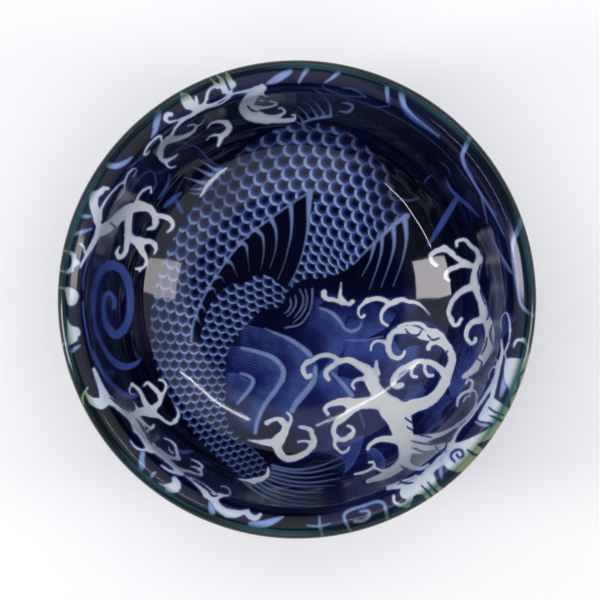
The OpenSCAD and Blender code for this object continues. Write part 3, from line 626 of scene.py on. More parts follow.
# How blue the ground is, as (x, y, value): 0 is near black.
GROUND = [
    (-36, 0, 0.3), (-41.5, -3, 0.2), (-41, 8, 0.2), (-32, 0, 0.12), (-30, -10, 0.06), (-33, -15, 0.1),
    (-36, -18, 0.25), (-33, -21, 0.08), (-30, -20, 0.05), (-26, -22, 0.04), (-25, -27, 0.2),
    (-21, -31, 0.06), (-15, -35, 0.12), (-20, -38, 0.12), (-11, -40, 0.1), (-3, -42.5, 0.12),
    (-38, -24, 0.12), (-32, -31, 0.12), (0, -8, 0.55), (-8, -8, 0.35), (-5, -3.6, 0.12), (5, -6, 0.62),
    (6, -14, 0.62), (0, -16, 0.72), (-8, -16, 0.55), (-11, -22, 0.5), (-6, -30, 0.1), (-9, -31, 0.08),
    (-2, -20, 0.7), (5, -24, 0.62), (3, -19, 0.75), (14, -8, 0.6), (20, -3, 0.5), (15, -3, 0.5),
    (22, 1, 0.35), (27, 2, 0.2), (14, -24, 0.65), (12, -31, 0.6), (16, -37, 0.5), (5, -30, 0.45),
    (5, -37, 0.2), (28, -23, 0.3), (25, -17, 0.6), (24, -10, 0.66), (33, -10, 0.35), (33, -5, 0.3),
    (36, -18, 0.55), (32, 1, 0.1), (25, 5, 0.2), (30, 12, 0.12), (28, 20, 0.06), (22, 24, 0), (24, 30, 0),
    (15, 36, 0.04), (30, 30, 0.08), (10, 40, 0.1), (4, 39, 0.1), (-3, 39, 0.12), (-8, 33, 0.02),
    (-15, 37, 0.12), (-15, 31, 0.06), (-22, 33, 0.1), (-25, 29, 0.12), (-20, 25, 0.06), (-28, 23, 0.22),
    (-34, 21, 0.2), (-31, 15, 0.06), (-26, 11, 0.12), (-32, 9, 0.06), (-37, 11, 0.2), (38, 0, 0.2),
    (40, 12, 0.2), (37, 22, 0.12), (40, 3, 0.25), (33, -27, 0.55), (28, -32, 0.55), (33, -21, 0.5),
    (41, -6, 0.2), (-34, 30, 0.14), (-40, 22, 0.12), (6, 6, 0.15), (22, 8, 0.12), (45.6, 8, 0.4),
    (43, 17, 0.42), (39, 25, 0.4), (33, 32, 0.38), (25, 39, 0.36), (16, 43, 0.36), (7, 45.6, 0.34),
    (-3, 46, 0.3), (-13, 44.4, 0.3), (-22, 40.6, 0.26), (-31, 34, 0.24), (-38, 26, 0.22), (-43, 16, 0.2),
    (-45.6, 6, 0.16), (-45.4, -8, 0.12), (-41, -20, 0.08), (-34, -31, 0.08), (-24, -39.6, 0.12),
    (-12, -44.6, 0.16), (0, -46, 0.24), (12, -44.6, 0.3), (23, -40, 0.4), (33, -32, 0.45), (41, -21, 0.45),
    (45.4, -9, 0.45), (14, 5, 0.16), (-12, 6, 0.1), (-5, 9, 0.05), (-2, 15, 0.02), (0, 5, 0.2),
    (0, -2, 0.3),
]

# Wave ridges from the back to the front, as (reach, strength, points). Each wave is shaded on the right-hand
# side of its ridge, over its reach, with fine lines that follow the ridge.
WAVES = [
    (9.0, 0.9, [(44, -3), (36, -14), (30, -20), (22, -22), (14, -22)]),
    (5.0, 0.5, [(4, 1.6), (10, 0.6), (15, 0.4), (20, 0.2), (25, -1.6)]),
    (6.0, 0.7, [(3.4, 0.6), (5.4, -0.6), (6, -2.6), (5.4, -5), (4, -7)]),
    (8.5, 0.9, [(20, -2.4), (17.6, -5.6), (13, -8), (9.4, -8), (8, -10), (9, -13), (14, -15)]),
    (7.5, 1.0, [(9, -7.8), (12, -8.2), (16, -8), (20, -8), (25, -9)]),
    (7.5, 0.8, [(3, -0.8), (6.1, -2.4), (8.2, -4.1), (9.4, -6.3), (9.4, -8.3), (8.1, -10.8), (6, -12.6)]),
    (4.0, 0.9, [(13.2, -3.6), (12.8, -5.4), (10.9, -6.6), (9, -6)]),
    (9.0, 0.8, [(9.6, -19.6), (12.9, -23), (13.3, -26.4), (12.7, -29.4), (10.9, -33), (8, -35.6)]),
    (6.0, 1.0, [(5.4, -12.9), (6.7, -14.2), (8.7, -16.2), (10.9, -19.2), (11.6, -21)]),
    (6.5, 1.0, [(-12, -4.6), (-6.9, -5.7), (-2.6, -7.1), (0.8, -9.1), (3, -11.1), (4, -13.4), (3.3, -15.6),
                (1.3, -18.5), (-1, -22), (-2, -24.4)]),
    (5.5, 1.0, [(-14, -9), (-11.1, -9.4), (-7.8, -10.2), (-4.4, -11.6), (-2.3, -14.2), (-3.4, -17.1),
                (-5.8, -20.4), (-7.5, -23.6), (-8.4, -27)]),
    (4.5, 0.8, [(-14.4, -14.4), (-12, -14.6), (-10.4, -15.3), (-8.8, -16.5), (-9.7, -18.5), (-12.2, -21.4)]),
    (4.5, 0.9, [(13.4, -29), (14.6, -29.1), (16.4, -30.1), (17.5, -32), (17.2, -34.2)]),
    (5.0, 0.8, [(31, -20), (29.4, -21.2), (28.6, -23), (29.2, -25)]),
    (4.5, 0.8, [(19, -13), (22, -12.4), (25.4, -11.8), (27.6, -12.6), (28.6, -14.6)]),
    (5.0, 0.7, [(18, -6), (21, -4.4), (25, -4.2), (28.6, -6), (31, -10)]),
]


def around(lines):
    """Turn lines given as (angle in degrees, radius) into plain (x, y) lines."""
    def place(points):
        return [(r * math.cos(math.radians(a)), r * math.sin(math.radians(a))) for a, r in points]
    return [line[:-1] + (place(line[-1]),) if isinstance(line, tuple) else place(line) for line in lines]


def paint_inside(x, y):
    """Every value of the inside decoration at each place."""
    foam = draw(x, y, FOAM + around(LIP_FOAM), FOAM_BLEND)
    for area in around(LIP_FOAM_AREAS):
        foam = blend_min(foam, outline(x, y, area), AREA_BLEND)
    foam = np.maximum(foam, -draw(x, y, FOAM_LINES + around(LIP_LINES), CUT_BLEND) - CUT_WIDENING)
    pale = draw(x, y, PALE + around(LIP_PALE), LINE_BLEND)
    faint = draw(x, y, FAINT, LINE_BLEND)
    fin = np.full(len(x), REACH)
    for panel in FIN_PANELS:
        fin = np.minimum(fin, outline(x, y, panel))
    body = outline(x, y, BODY, BODY_REACH)
    line = smooth_line(SCALE_LINE)
    away, share, side = line_distance(x, y, line)
    knots = np.concatenate([[0], np.cumsum(np.hypot(*np.diff(np.array(SCALE_LINE), axis=0).T))])
    steps = np.hypot(*np.diff(line, axis=0).T)
    travelled = np.concatenate([[0], np.cumsum(steps)])
    width = np.interp(travelled / travelled[-1], knots / knots[-1], SCALE_WIDTH)
    rows = np.concatenate([[0], np.cumsum(steps / (ROW_SHARE * (width[1:] + width[:-1]) / 2))])
    reached = share * travelled[-1]
    across = side * away / np.interp(reached, travelled, width)
    row = np.interp(reached, travelled, rows)
    ridge = np.full(len(x), FAR)
    swell = np.zeros(len(x))
    for reach, strength, points in WAVES:
        away, share, side = line_distance(x, y, smooth_line(points))
        ends = np.clip(END_FADE * share, 0, 1) * np.clip(END_FADE * (1 - share), 0, 1)
        shaded = (side < 0) & (away < reach) & (share > 0) & (share < 1)
        ridge = np.where(shaded, away, ridge)
        swell = np.where(shaded, strength * ends * (1 - away / reach), swell)
    return {
        "foam": foam,
        "pale": pale,
        "faint": faint,
        "fin": fin,
        "body": body,
        "scale_across": across,
        "scale_row": row,
        "glow": tone(x, y, GLOW, GLOW_SPREAD),
        "ground": tone(x, y, GROUND, GROUND_SPREAD),
        "ridge": ridge,
        "swell": swell,
    }


# Outside drawing ---------------------------------------------------------------------------------

# The outside carries four repeats of one band of waves, drawn in millimetres on the wall laid flat at
# OUTSIDE_R. The second number is the height above the table.
OUTSIDE_R = 40.0
REPEATS = 4
# The outside is OUTSIDE_GROUND blue away from the waves, and up to OUTSIDE_BLUE bluer beside a ridge, where
# RIDGE_GAIN keeps it even. The wash leans by one radian over each WASH_LEAN of height.
OUTSIDE_GROUND = 0.12
OUTSIDE_BLUE = 0.45
RIDGE_GAIN = 1.4
WASH_LEAN = 9
OUTSIDE_FOAM = [
    # Tall wave with curling fingers
    (5.0, 3.4, 2.2, [(6, 14), (9, 17), (12, 21), (13.6, 25)]),
    (2.4, 1.8, 1.4, [(13.6, 25), (14.4, 29), (17, 32.4), (20.4, 33.6)]),
    (1.4, 1.5, 1.0, [(20.4, 33.6), (24, 33.6), (26.6, 31.6), (27, 28.8), (25.4, 27.2), (23.8, 28)]),
    (1.6, 1.2, 1.0, [(14.6, 30), (13, 33), (13.4, 36), (15.6, 37), (16.8, 35.4)]),
    (1.4, 1.1, 0.9, [(18.4, 33), (18.6, 36), (20.6, 38.4), (23, 38), (23, 36.2)]),
    (1.4, 1.0, 0.8, [(16.8, 31.8), (18.4, 29.8), (20.8, 29.6), (21.4, 31.2)]),
    (1.8, 1.3, 0.9, [(12.6, 24), (15.6, 24.4), (18.4, 23.4), (19.4, 21), (17.8, 19.6), (16.4, 20.6)]),
    (1.5, 1.1, 0.8, [(11.6, 21), (8.4, 24.6), (6.6, 28), (8, 30.4), (10, 29.6)]),
    (1.3, 1.0, 0.8, [(8.6, 24.2), (5.4, 25.4), (3.4, 24.2), (3.6, 22)]),
    (3.2, 2.4, 1.6, [(7, 15), (11.4, 14.6), (15.6, 15.6), (19.6, 15)]),
    (1.7, 1.3, 0.9, [(19.6, 15), (23, 14.6), (25.4, 16.6), (24.6, 19), (22.6, 18.8)]),
    (1.3, 1.0, 0.8, [(16, 15.6), (18.4, 12.8), (21.4, 11.8), (22.8, 13)]),
    (3.0, 2.0, 1.2, [(7, 14), (3, 12.4), (-1.4, 12.6), (-5, 14.6)]),
    (1.3, 1.0, 0.8, [(-1.6, 12.8), (-4, 10.6), (-7, 11), (-7.6, 13)]),
    (1.2, 1.0, 0.7, [(-5, 14.6), (-7.2, 17), (-6, 19.2), (-4, 18.4)]),
    # Low crest with hooks
    (1.0, 2.2, 1.6, [(32, 21), (35.6, 24), (40, 25), (44.4, 23.4)]),
    (1.6, 1.3, 1.0, [(44.4, 23.4), (48, 21), (48.8, 17.6), (46.4, 16), (44.6, 17.4)]),
    (1.3, 1.0, 0.8, [(41, 24.8), (42.6, 27.8), (45.6, 28.4), (46.8, 26.6)]),
    (1.3, 1.0, 0.8, [(36.4, 24.4), (36.2, 27.6), (38.4, 29.8), (40.6, 28.8)]),
    (1.2, 0.9, 0.7, [(38.8, 24.6), (38.6, 21.8), (40.8, 20.4), (42, 21.8)]),
    (1.1, 0.8, 0.7, [(34, 22.8), (32, 25.4), (33, 27.8), (34.6, 27)]),
    # Spray near the lip
    (0.6, 1.3, 0.8, [(30, 40.6), (34, 42), (38, 41), (40.4, 38.6), (39, 36.8), (37.6, 38)]),
    (1.0, 0.8, 0.6, [(34.6, 41.6), (34, 38.8), (36, 37.4)]),
    (1.2, 1.2, 1.0, [(43.6, 41), (44, 41.4)]),
    (0.9, 0.9, 0.8, [(46.6, 38.8), (47, 39)]),
    (0.6, 1.2, 0.8, [(53, 37), (56, 40.6), (60, 41.8), (63, 40), (62.4, 37.8)]),
]
OUTSIDE_PALE = [
    (0.6, 1.3, 0.6, [(-4, 22), (0, 27), (2, 32), (2.4, 37)]),
    (0.6, 1.2, 0.6, [(28, 13), (31, 17), (36, 19.6), (41, 19.4)]),
    (0.6, 1.2, 0.6, [(26, 22.6), (28.6, 25), (29.6, 29), (28.6, 34)]),
    (0.5, 1.1, 0.5, [(47, 12), (51, 15), (53, 19.6), (52.6, 25)]),
    (0.5, 1.1, 0.5, [(22, 42.6), (26, 43.4), (29, 42.6)]),
    (0.5, 1.0, 0.4, [(9, 41.6), (13, 42.6), (18, 42)]),
    (0.4, 0.9, 0.4, [(43, 33.4), (47, 34.6), (51, 33.6)]),
]
OUTSIDE_FAINT = [
    (1.6, 1.2, 1.2, [(56.6, 35.6), (60.4, 33), (61.4, 28.6), (59.4, 24.6), (55.6, 24)]),
    (1.2, 1.2, 0.6, [(55.6, 24), (53, 26.6), (53.2, 30.4), (56, 32), (58.2, 30), (57.4, 27.6)]),
    (0.6, 1.3, 0.6, [(54, 20), (58.6, 19), (62, 21.6), (64, 26)]),
    (0.6, 1.2, 0.6, [(33, 31), (38, 33.6), (43, 31.4), (47, 29.6)]),
    (0.5, 1.0, 0.5, [(-2, 41), (3, 43), (7, 40.6)]),
    (0.5, 1.0, 0.4, [(6, 33), (8, 37), (7, 40)]),
]
# Wave ridges outside, as (reach, points).
OUTSIDE_SWELL = [
    (6.0, [(-8, 8.6), (0, 7.6), (8, 9.4), (16, 8.8), (24, 7.8), (32, 9.6), (40, 9), (48, 7.8), (55, 8.6)]),
    (7.0, [(24, 11), (29, 15), (35, 18), (42, 17), (50, 13)]),
    (6.0, [(26, 22), (29, 28), (27.6, 36)]),
    (6.0, [(49, 13), (53, 20), (52, 27)]),
    (5.0, [(-6, 21), (0, 27), (2, 35)]),
]


def paint_outside(angle, height):
    """Every value of the outside decoration from the angle round the cup and the height in millimetres."""
    period = 2 * math.pi * OUTSIDE_R / REPEATS
    u = np.mod(angle * OUTSIDE_R, period)

    def shifted(points, k):
        return [(x + k * period, y) for x, y in points]

    def repeated(lines):
        return [line[:3] + (shifted(line[3], k),) for line in lines for k in (-1, 0, 1)]

    ridge = np.full(len(u), FAR)
    swell = np.zeros(len(u))
    for reach, points in OUTSIDE_SWELL:
        for k in (-1, 0, 1):
            away, _, _ = line_distance(u, height, smooth_line(shifted(points, k)))
            ridge = np.minimum(ridge, away)
            swell = np.maximum(swell, np.clip(RIDGE_GAIN * (1 - away / reach), 0, 1))
    wash = 0.5 + 0.5 * np.sin(2 * math.pi * u / period + height / WASH_LEAN)
    values = dict.fromkeys(("glow", "scale_across", "scale_row"), np.zeros(len(u)))
    return values | {
        "foam": draw(u, height, repeated(OUTSIDE_FOAM), FOAM_BLEND),
        "pale": draw(u, height, repeated(OUTSIDE_PALE), LINE_BLEND),
        "faint": draw(u, height, repeated(OUTSIDE_FAINT), LINE_BLEND),
        "fin": np.full(len(u), REACH),
        "body": np.full(len(u), BODY_REACH),
        "ground": OUTSIDE_GROUND + OUTSIDE_BLUE * swell * (0.5 + 0.5 * wash),
        "ridge": ridge,
        "swell": swell,
    }


# Sections ----------------------------------------------------------------------------------------
# Every part of the cup is turned, so its outline is a chain of rings given as (radius, height).

# Rings closer than this are one ring, and points this near the axis are on it.
RING_GAP = 0.02
AXIS_GAP = 0.05
# Bends sharper than this, in degrees, stay corners. The outline is sampled and rounded off by these lengths.
CORNER = 24
OUTLINE_STEP = 0.04
ROUNDING = 0.22
# The floor piece ends at this share of the rim's radius.
FLOOR_SHARE = 0.635


def rings_of(node):
    """Rings of a turned part in millimetres, and for each ring the rings next to it."""
    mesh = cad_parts[node].data
    flat = np.empty(len(mesh.vertices) * 3)
    mesh.vertices.foreach_get("co", flat)
    co = flat.reshape(-1, 3) / MM
    places = np.column_stack([np.hypot(co[:, 0], co[:, 1]), co[:, 2]])
    rings = []
    ring_of = np.empty(len(places), int)
    for i, place in enumerate(places):
        gaps = [math.dist(place, ring) for ring in rings]
        if not gaps or min(gaps) > RING_GAP:
            rings.append(place)
            gaps.append(0.0)
        ring_of[i] = int(np.argmin(gaps))
    ends = np.empty(len(mesh.edges) * 2, int)
    mesh.edges.foreach_get("vertices", ends)
    beside = {i: set() for i in range(len(rings))}
    for a, b in ring_of[ends].reshape(-1, 2):
        if a != b:
            beside[a].add(b)
            beside[b].add(a)
    return np.array(rings), beside


def trace(node, start, stop):
    """The rings of a part from the one nearest start to the one nearest stop, along the outer face."""
    rings, beside = rings_of(node)
    here = int(np.argmin(np.hypot(*(rings - start).T)))
    last = int(np.argmin(np.hypot(*(rings - stop).T)))
    chain = [here]
    step = max(beside[here], key=lambda i: math.dist(rings[i], rings[here]))
    while step != last:
        chain.append(step)
        step = next(i for i in beside[step] if i not in chain[-2:])
    return rings[chain + [last]]


def evenly(line, gap):
    """The same line with points gap apart."""
    reach = np.concatenate([[0], np.cumsum(np.hypot(*np.diff(line, axis=0).T))])
    spots = np.linspace(0, reach[-1], int(reach[-1] / gap) + 1)
    return np.column_stack([np.interp(spots, reach, line[:, k]) for k in (0, 1)])


def soften(line, gap, width):
    """Round off the corners of an evenly spaced line over about the given width."""
    count = int(3 * width / gap)
    weights = np.exp(-0.5 * (np.arange(-count, count + 1) * gap / width) ** 2)
    weights /= weights.sum()
    padded = np.vstack([2 * line[0] - line[count:0:-1], line, 2 * line[-1] - line[-2:-count - 2:-1]])
    return np.column_stack([np.convolve(padded[:, k], weights, "valid") for k in (0, 1)])


def turned_outline(points):
    """One smooth line round the cup from its corner points; only true corners stay tight."""
    way = np.diff(points, axis=0)
    heading = np.arctan2(way[:, 1], way[:, 0])
    bend = np.abs((np.diff(heading) + math.pi) % (2 * math.pi) - math.pi)
    cuts = [0] + [i + 1 for i in np.flatnonzero(bend > math.radians(CORNER))] + [len(points) - 1]
    runs = [smooth_line(points[a:b + 1]) if b - a > 1 else points[a:b + 1] for a, b in zip(cuts, cuts[1:])]
    line = np.vstack(runs)
    line = line[np.concatenate([[True], np.hypot(*np.diff(line, axis=0).T) > 1e-4])]
    return soften(evenly(line, OUTLINE_STEP), OUTLINE_STEP, ROUNDING)


# The order goes from the middle of the bowl over the lip, down the outside and under the foot.
inside_rings = rings_of("inside_glaze")[0]
middle = max((r for r in inside_rings if r[0] < AXIS_GAP), key=lambda r: r[1])
lip_start = max(inside_rings, key=lambda r: r[1])
outside_rings = rings_of("outside_glaze")[0]
lip_stop = max(outside_rings, key=lambda r: r[0] + r[1])
glaze_end = min(outside_rings, key=lambda r: r[1])
foot_rings = rings_of("foot_ring")[0]
foot_outer = max(foot_rings, key=lambda r: (round(r[0], 2), r[1]))
foot_inner = min(foot_rings, key=lambda r: (round(r[0], 2), -r[1]))
well_rings = rings_of("foot_well_glaze")[0]
well_start = min(well_rings, key=lambda r: r[1])
under_middle = min((r for r in well_rings if r[0] < AXIS_GAP), key=lambda r: r[1])

foot_line = trace("foot_ring", foot_outer, foot_inner)
foot_line = foot_line[foot_line[:, 1] < glaze_end[1] - 0.01]
cup_line = turned_outline(np.vstack([
    trace("inside_glaze", middle, lip_start),
    trace("lip_glaze", lip_start, lip_stop)[1:],
    trace("outside_glaze", lip_stop, glaze_end)[1:],
    foot_line,
    trace("foot_well_glaze", under_middle, well_start)[::-1],
]))
cup_line = np.maximum(cup_line, 0)
slope_way = np.gradient(cup_line, axis=0)
cup_slope = np.unwrap(np.arctan2(slope_way[:, 1], slope_way[:, 0]))
RIM_R = cup_line[:, 0].max()
LIP_Z = cup_line[:, 1].max()
CREST = int(np.argmax(cup_line[:, 1]))


def nearest(place):
    return int(np.argmin(np.hypot(*(cup_line - place).T)))


# Where the outline is cut into pieces.
FLOOR_END = int(np.flatnonzero(cup_line[:, 0] > FLOOR_SHARE * RIM_R)[0])
LIP_START = nearest(lip_start)
LIP_STOP = nearest(lip_stop)
GLAZE_END = nearest(glaze_end)
WELL_START = nearest(well_start)
LINE_END = len(cup_line) - 1


# Geometry ----------------------------------------------------------------------------------------


# Noise stays mostly between these values.
NOISE_LOW = 0.3
NOISE_HIGH = 0.7


class Sheet:
    """Adds nodes to one tree and joins them."""

    def __init__(self, tree):
        self.tree = tree

    def feed(self, socket, value):
        if isinstance(value, bpy.types.NodeSocket):
            self.tree.links.new(value, socket)
        elif value is not None:
            socket.default_value = value

    def add(self, kind, *values, **settings):
        node = self.tree.nodes.new(kind)
        for key, value in settings.items():
            setattr(node, key, value)
        for socket, value in zip(node.inputs, values):
            self.feed(socket, value)
        return node

    def math(self, operation, *values):
        return self.add("ShaderNodeMath", *values, operation=operation).outputs[0]

    def ease(self, value, low, high, first=0.0, second=1.0):
        """Smooth change from first to second while the value goes from low to high."""
        values = (value, low, high, first, second)
        return self.add("ShaderNodeMapRange", *values, interpolation_type="SMOOTHSTEP").outputs[0]

    def mix(self, share, first, second, way="MIX"):
        node = self.add("ShaderNodeMix", share, data_type="RGBA", blend_type=way)
        self.feed(node.inputs[6], first)
        self.feed(node.inputs[7], second)
        return node.outputs[2]

    def read(self, name):
        return self.add("ShaderNodeAttribute", attribute_name=name).outputs["Fac"]

    def noise(self, place, scale, detail=2.0):
        node = self.add("ShaderNodeTexNoise", place)
        self.feed(node.inputs["Scale"], scale)
        self.feed(node.inputs["Detail"], detail)
        return node.outputs["Fac"]

    def uneven(self, place, scale, low, high):
        """A soft random value between low and high over the surface."""
        return self.ease(self.noise(place, scale), NOISE_LOW, NOISE_HIGH, low, high)


# Points of a grid closer than this, in metres, become one, which closes seams and poles.
WELD_GAP = 0.000002


def new_tree(name, sockets):
    """A Geometry Nodes tree with the given inputs, a section object and a coat material."""
    tree = bpy.data.node_groups.new(name, "GeometryNodeTree")
    tree.interface.new_socket("Geometry", in_out="OUTPUT", socket_type="NodeSocketGeometry")
    for label, kind in [("Section", "Object"), ("Coat", "Material")] + sockets:
        tree.interface.new_socket(label, in_out="INPUT", socket_type="NodeSocket" + kind)
    sheet = Sheet(tree)
    return sheet, sheet.add("NodeGroupInput").outputs


def close_tree(sheet, grid, given, reach, radius_sign, angle):
    """Lay a flat grid on the turned section at the reach and angle of each point."""
    section = sheet.add("GeometryNodeObjectInfo", given["Section"]).outputs["Geometry"]
    curve = sheet.add("GeometryNodeMeshToCurve", section).outputs[0]
    sample = sheet.add("GeometryNodeSampleCurve", mode="FACTOR")
    sheet.feed(sample.inputs["Curves"], curve)
    sheet.feed(sample.inputs["Factor"], reach)
    spot = sheet.add("ShaderNodeSeparateXYZ", sample.outputs["Position"]).outputs
    radius = sheet.math("MULTIPLY", spot[0], radius_sign)
    place = sheet.add(
        "ShaderNodeCombineXYZ",
        sheet.math("MULTIPLY", radius, sheet.math("COSINE", angle)),
        sheet.math("MULTIPLY", radius, sheet.math("SINE", angle)),
        spot[2],
    )
    kept = sheet.add("GeometryNodeStoreNamedAttribute", grid, data_type="FLOAT", domain="POINT")
    sheet.feed(kept.inputs["Name"], "reach")
    sheet.feed(kept.inputs["Value"], reach)
    moved = sheet.add("GeometryNodeSetPosition", kept.outputs[0])
    sheet.feed(moved.inputs["Position"], place.outputs[0])
    merged = sheet.add("GeometryNodeMergeByDistance", moved.outputs[0])
    sheet.feed(merged.inputs["Distance"], WELD_GAP)
    smooth = sheet.add("GeometryNodeSetShadeSmooth", merged.outputs[0])
    whole = sheet.add("GeometryNodeRealizeInstances", smooth.outputs[0])
    coated = sheet.add("GeometryNodeSetMaterial", whole.outputs[0])
    sheet.feed(coated.inputs["Material"], given["Coat"])
    sheet.add("NodeGroupOutput", coated.outputs[0])
    return sheet.tree


def build_floor_tree():
    """A square grid bent into a disc on the section: even cells and no pinched middle."""
    sheet, given = new_tree("turned floor", [("Cells", "Int")])
    count = sheet.math("ADD", given["Cells"], 1)
    grid = sheet.add("GeometryNodeMeshGrid", 2.0, 2.0, count, count)
    spot = sheet.add("ShaderNodeSeparateXYZ", sheet.add("GeometryNodeInputPosition").outputs[0]).outputs
    wide = sheet.math("ABSOLUTE", spot[0])
    tall = sheet.math("ABSOLUTE", spot[1])
    sideways = sheet.math("GREATER_THAN", sheet.math("ADD", wide, 0.000001), tall)

    def pick(if_tall, if_wide):
        gap = sheet.math("SUBTRACT", if_wide, if_tall)
        return sheet.math("MULTIPLY_ADD", gap, sideways, if_tall)

    turn_wide = sheet.math("MULTIPLY", sheet.math("DIVIDE", spot[1], spot[0]), math.pi / 4)
    turn_tall = sheet.math("MULTIPLY_ADD", sheet.math("DIVIDE", spot[0], spot[1]), -math.pi / 4, math.pi / 2)
    sign = sheet.math("SIGN", pick(spot[1], spot[0]))
    reach = sheet.math("MAXIMUM", wide, tall)
    return close_tree(sheet, grid.outputs[0], given, reach, sign, pick(turn_tall, turn_wide))


def build_band_tree():
    """A flat grid wrapped once round the section."""
    sheet, given = new_tree("turned band", [("Segments", "Int"), ("Rings", "Int")])
    columns = sheet.math("ADD", given["Segments"], 1)
    grid = sheet.add("GeometryNodeMeshGrid", 1.0, 1.0, columns, given["Rings"])
    spot = sheet.add("ShaderNodeSeparateXYZ", sheet.add("GeometryNodeInputPosition").outputs[0]).outputs
    angle = sheet.math("MULTIPLY", sheet.math("ADD", spot[0], 0.5), -2 * math.pi)
    reach = sheet.math("ADD", spot[1], 0.5)
    return close_tree(sheet, grid.outputs[0], given, reach, 1.0, angle)


floor_tree = build_floor_tree()
band_tree = build_band_tree()


def build_piece(name, first, last, tree, coat, **numbers):
    """A plain mesh turned from part of the cup's outline, with its normals taken from the outline.

    Gives the piece, its points in millimetres and each point's distance along the outline.
    """
    points = np.zeros((last - first + 1, 3))
    points[:, 0] = cup_line[first:last + 1, 0] * MM
    points[:, 2] = cup_line[first:last + 1, 1] * MM
    line = bpy.data.meshes.new(name + " section")
    line.from_pydata(points.tolist(), [(i, i + 1) for i in range(len(points) - 1)], [])
    section = bpy.data.objects.new(name + " section", line)
    maker = bpy.data.objects.new(name + " maker", bpy.data.meshes.new(name + " maker"))
    for thing in (section, maker):
        bpy.context.scene.collection.objects.link(thing)
    modifier = maker.modifiers.new("turn", "NODES")
    modifier.node_group = tree
    sockets = {item.name: item.identifier for item in tree.interface.items_tree if item.in_out == "INPUT"}
    modifier[sockets["Section"]] = section
    modifier[sockets["Coat"]] = coat
    for label, value in numbers.items():
        modifier[sockets[label]] = value
    graph = bpy.context.evaluated_depsgraph_get()
    mesh = bpy.data.meshes.new_from_object(maker.evaluated_get(graph), depsgraph=graph)
    maker.modifiers.clear()
    for thing in (maker, section):
        bpy.data.objects.remove(thing)
    mesh.name = name
    piece = bpy.data.objects.new(name, mesh)
    bpy.context.scene.collection.objects.link(piece)
    flat = np.empty(len(mesh.vertices) * 3)
    mesh.vertices.foreach_get("co", flat)
    co = flat.reshape(-1, 3)
    share = np.empty(len(co), np.float32)
    mesh.attributes["reach"].data.foreach_get("value", share)
    steps = np.hypot(*np.diff(cup_line[first:last + 1], axis=0).T)
    length = np.concatenate([[0], np.cumsum(steps)])
    slope = np.interp(share * length[-1], length, cup_slope[first:last + 1])
    turn = np.arctan2(co[:, 1], co[:, 0])
    normals = np.column_stack([-np.sin(slope) * np.cos(turn), -np.sin(slope) * np.sin(turn), np.cos(slope)])
    mesh.normals_split_custom_set_from_vertices(normals.tolist())
    return piece, co / MM, share * length[-1]


def store(piece, values):
    for name, value in values.items():
        layer = piece.data.attributes.new(name, "FLOAT", "POINT")
        layer.data.foreach_set("value", np.asarray(value, np.float32))


def from_above(co):
    """Where each place appears from the camera straight above, measured at the height of the lip."""
    scale = EYE / (EYE + LIP_Z - co[:, 2])
    return co[:, 0] * scale, co[:, 1] * scale


# Materials ---------------------------------------------------------------------------------------


def shade(red, green, blue):
    """A display colour from 0 to 255 as the linear colour that materials use."""
    parts = [c / 255 for c in (red, green, blue)]
    return tuple(((c + 0.055) / 1.055) ** 2.4 if c > 0.04045 else c / 12.92 for c in parts) + (1.0,)


# Cobalt washes from the deepest to the lightest, then the other colours of the picture.
WASHES = [shade(2, 3, 16), shade(8, 12, 54), shade(21, 33, 92), shade(54, 75, 146)]
WAVE_LINE = shade(88, 108, 168)
FAINT_BLUE = shade(56, 78, 146)
PALE_BLUE = shade(122, 145, 198)
SKIN_DARK = shade(4, 8, 32)
SKIN_LIGHT = shade(50, 72, 148)
SCALE_RIM = shade(150, 172, 210)
FIN_DARK = shade(5, 8, 34)
FOAM_EDGE = shade(74, 96, 160)
FOAM_WHITE = shade(218, 223, 226)
FOAM_HIGH = shade(188, 197, 208)
FOAM_WASH = shade(124, 144, 188)
# Stain of the glaze on the lip.
STAIN_WARM = shade(160, 168, 108)
STAIN_COOL = shade(104, 150, 142)
STAIN_DEEP = shade(46, 80, 88)

# Heights in metres between which the foam goes from FOAM_WHITE to FOAM_HIGH, and the clear glaze from
# glossy to WALL_DULL rougher.
FOAM_HEIGHTS = (0.02, 0.042)
DULL_HEIGHTS = (0.022, 0.034)
WALL_DULL = 0.2
LIP_DULL = 0.05

# The fine lines of a wave are twice LINE_HALF_GAP apart and wander by up to LINE_WANDER, in millimetres.
LINE_HALF_GAP = 0.26
LINE_WANDER = 1.2

# One scale, in shares of the scales' width: its radius and soft edge, its bright rim, which is RIM_GROWTH
# wider at the tail end and RIM_SIDE as bright at the sides, and its dark core, which sits towards the head.
SCALE_SIZE = 0.54
SCALE_EDGE = 0.02
RIM_WIDTH = 0.1
RIM_GROWTH = 0.11
RIM_EDGE = 0.05
RIM_SIDE = 0.3
CORE_OFFSET = 0.16
CORE_EDGE = (0.12, 0.5)


def new_group(name, inputs, outputs):
    tree = bpy.data.node_groups.new(name, "ShaderNodeTree")
    for label, kind in inputs:
        tree.interface.new_socket(label, in_out="INPUT", socket_type="NodeSocket" + kind)
    for label, kind in outputs:
        tree.interface.new_socket(label, in_out="OUTPUT", socket_type="NodeSocket" + kind)
    sheet = Sheet(tree)
    return sheet, sheet.add("NodeGroupInput").outputs if inputs else None


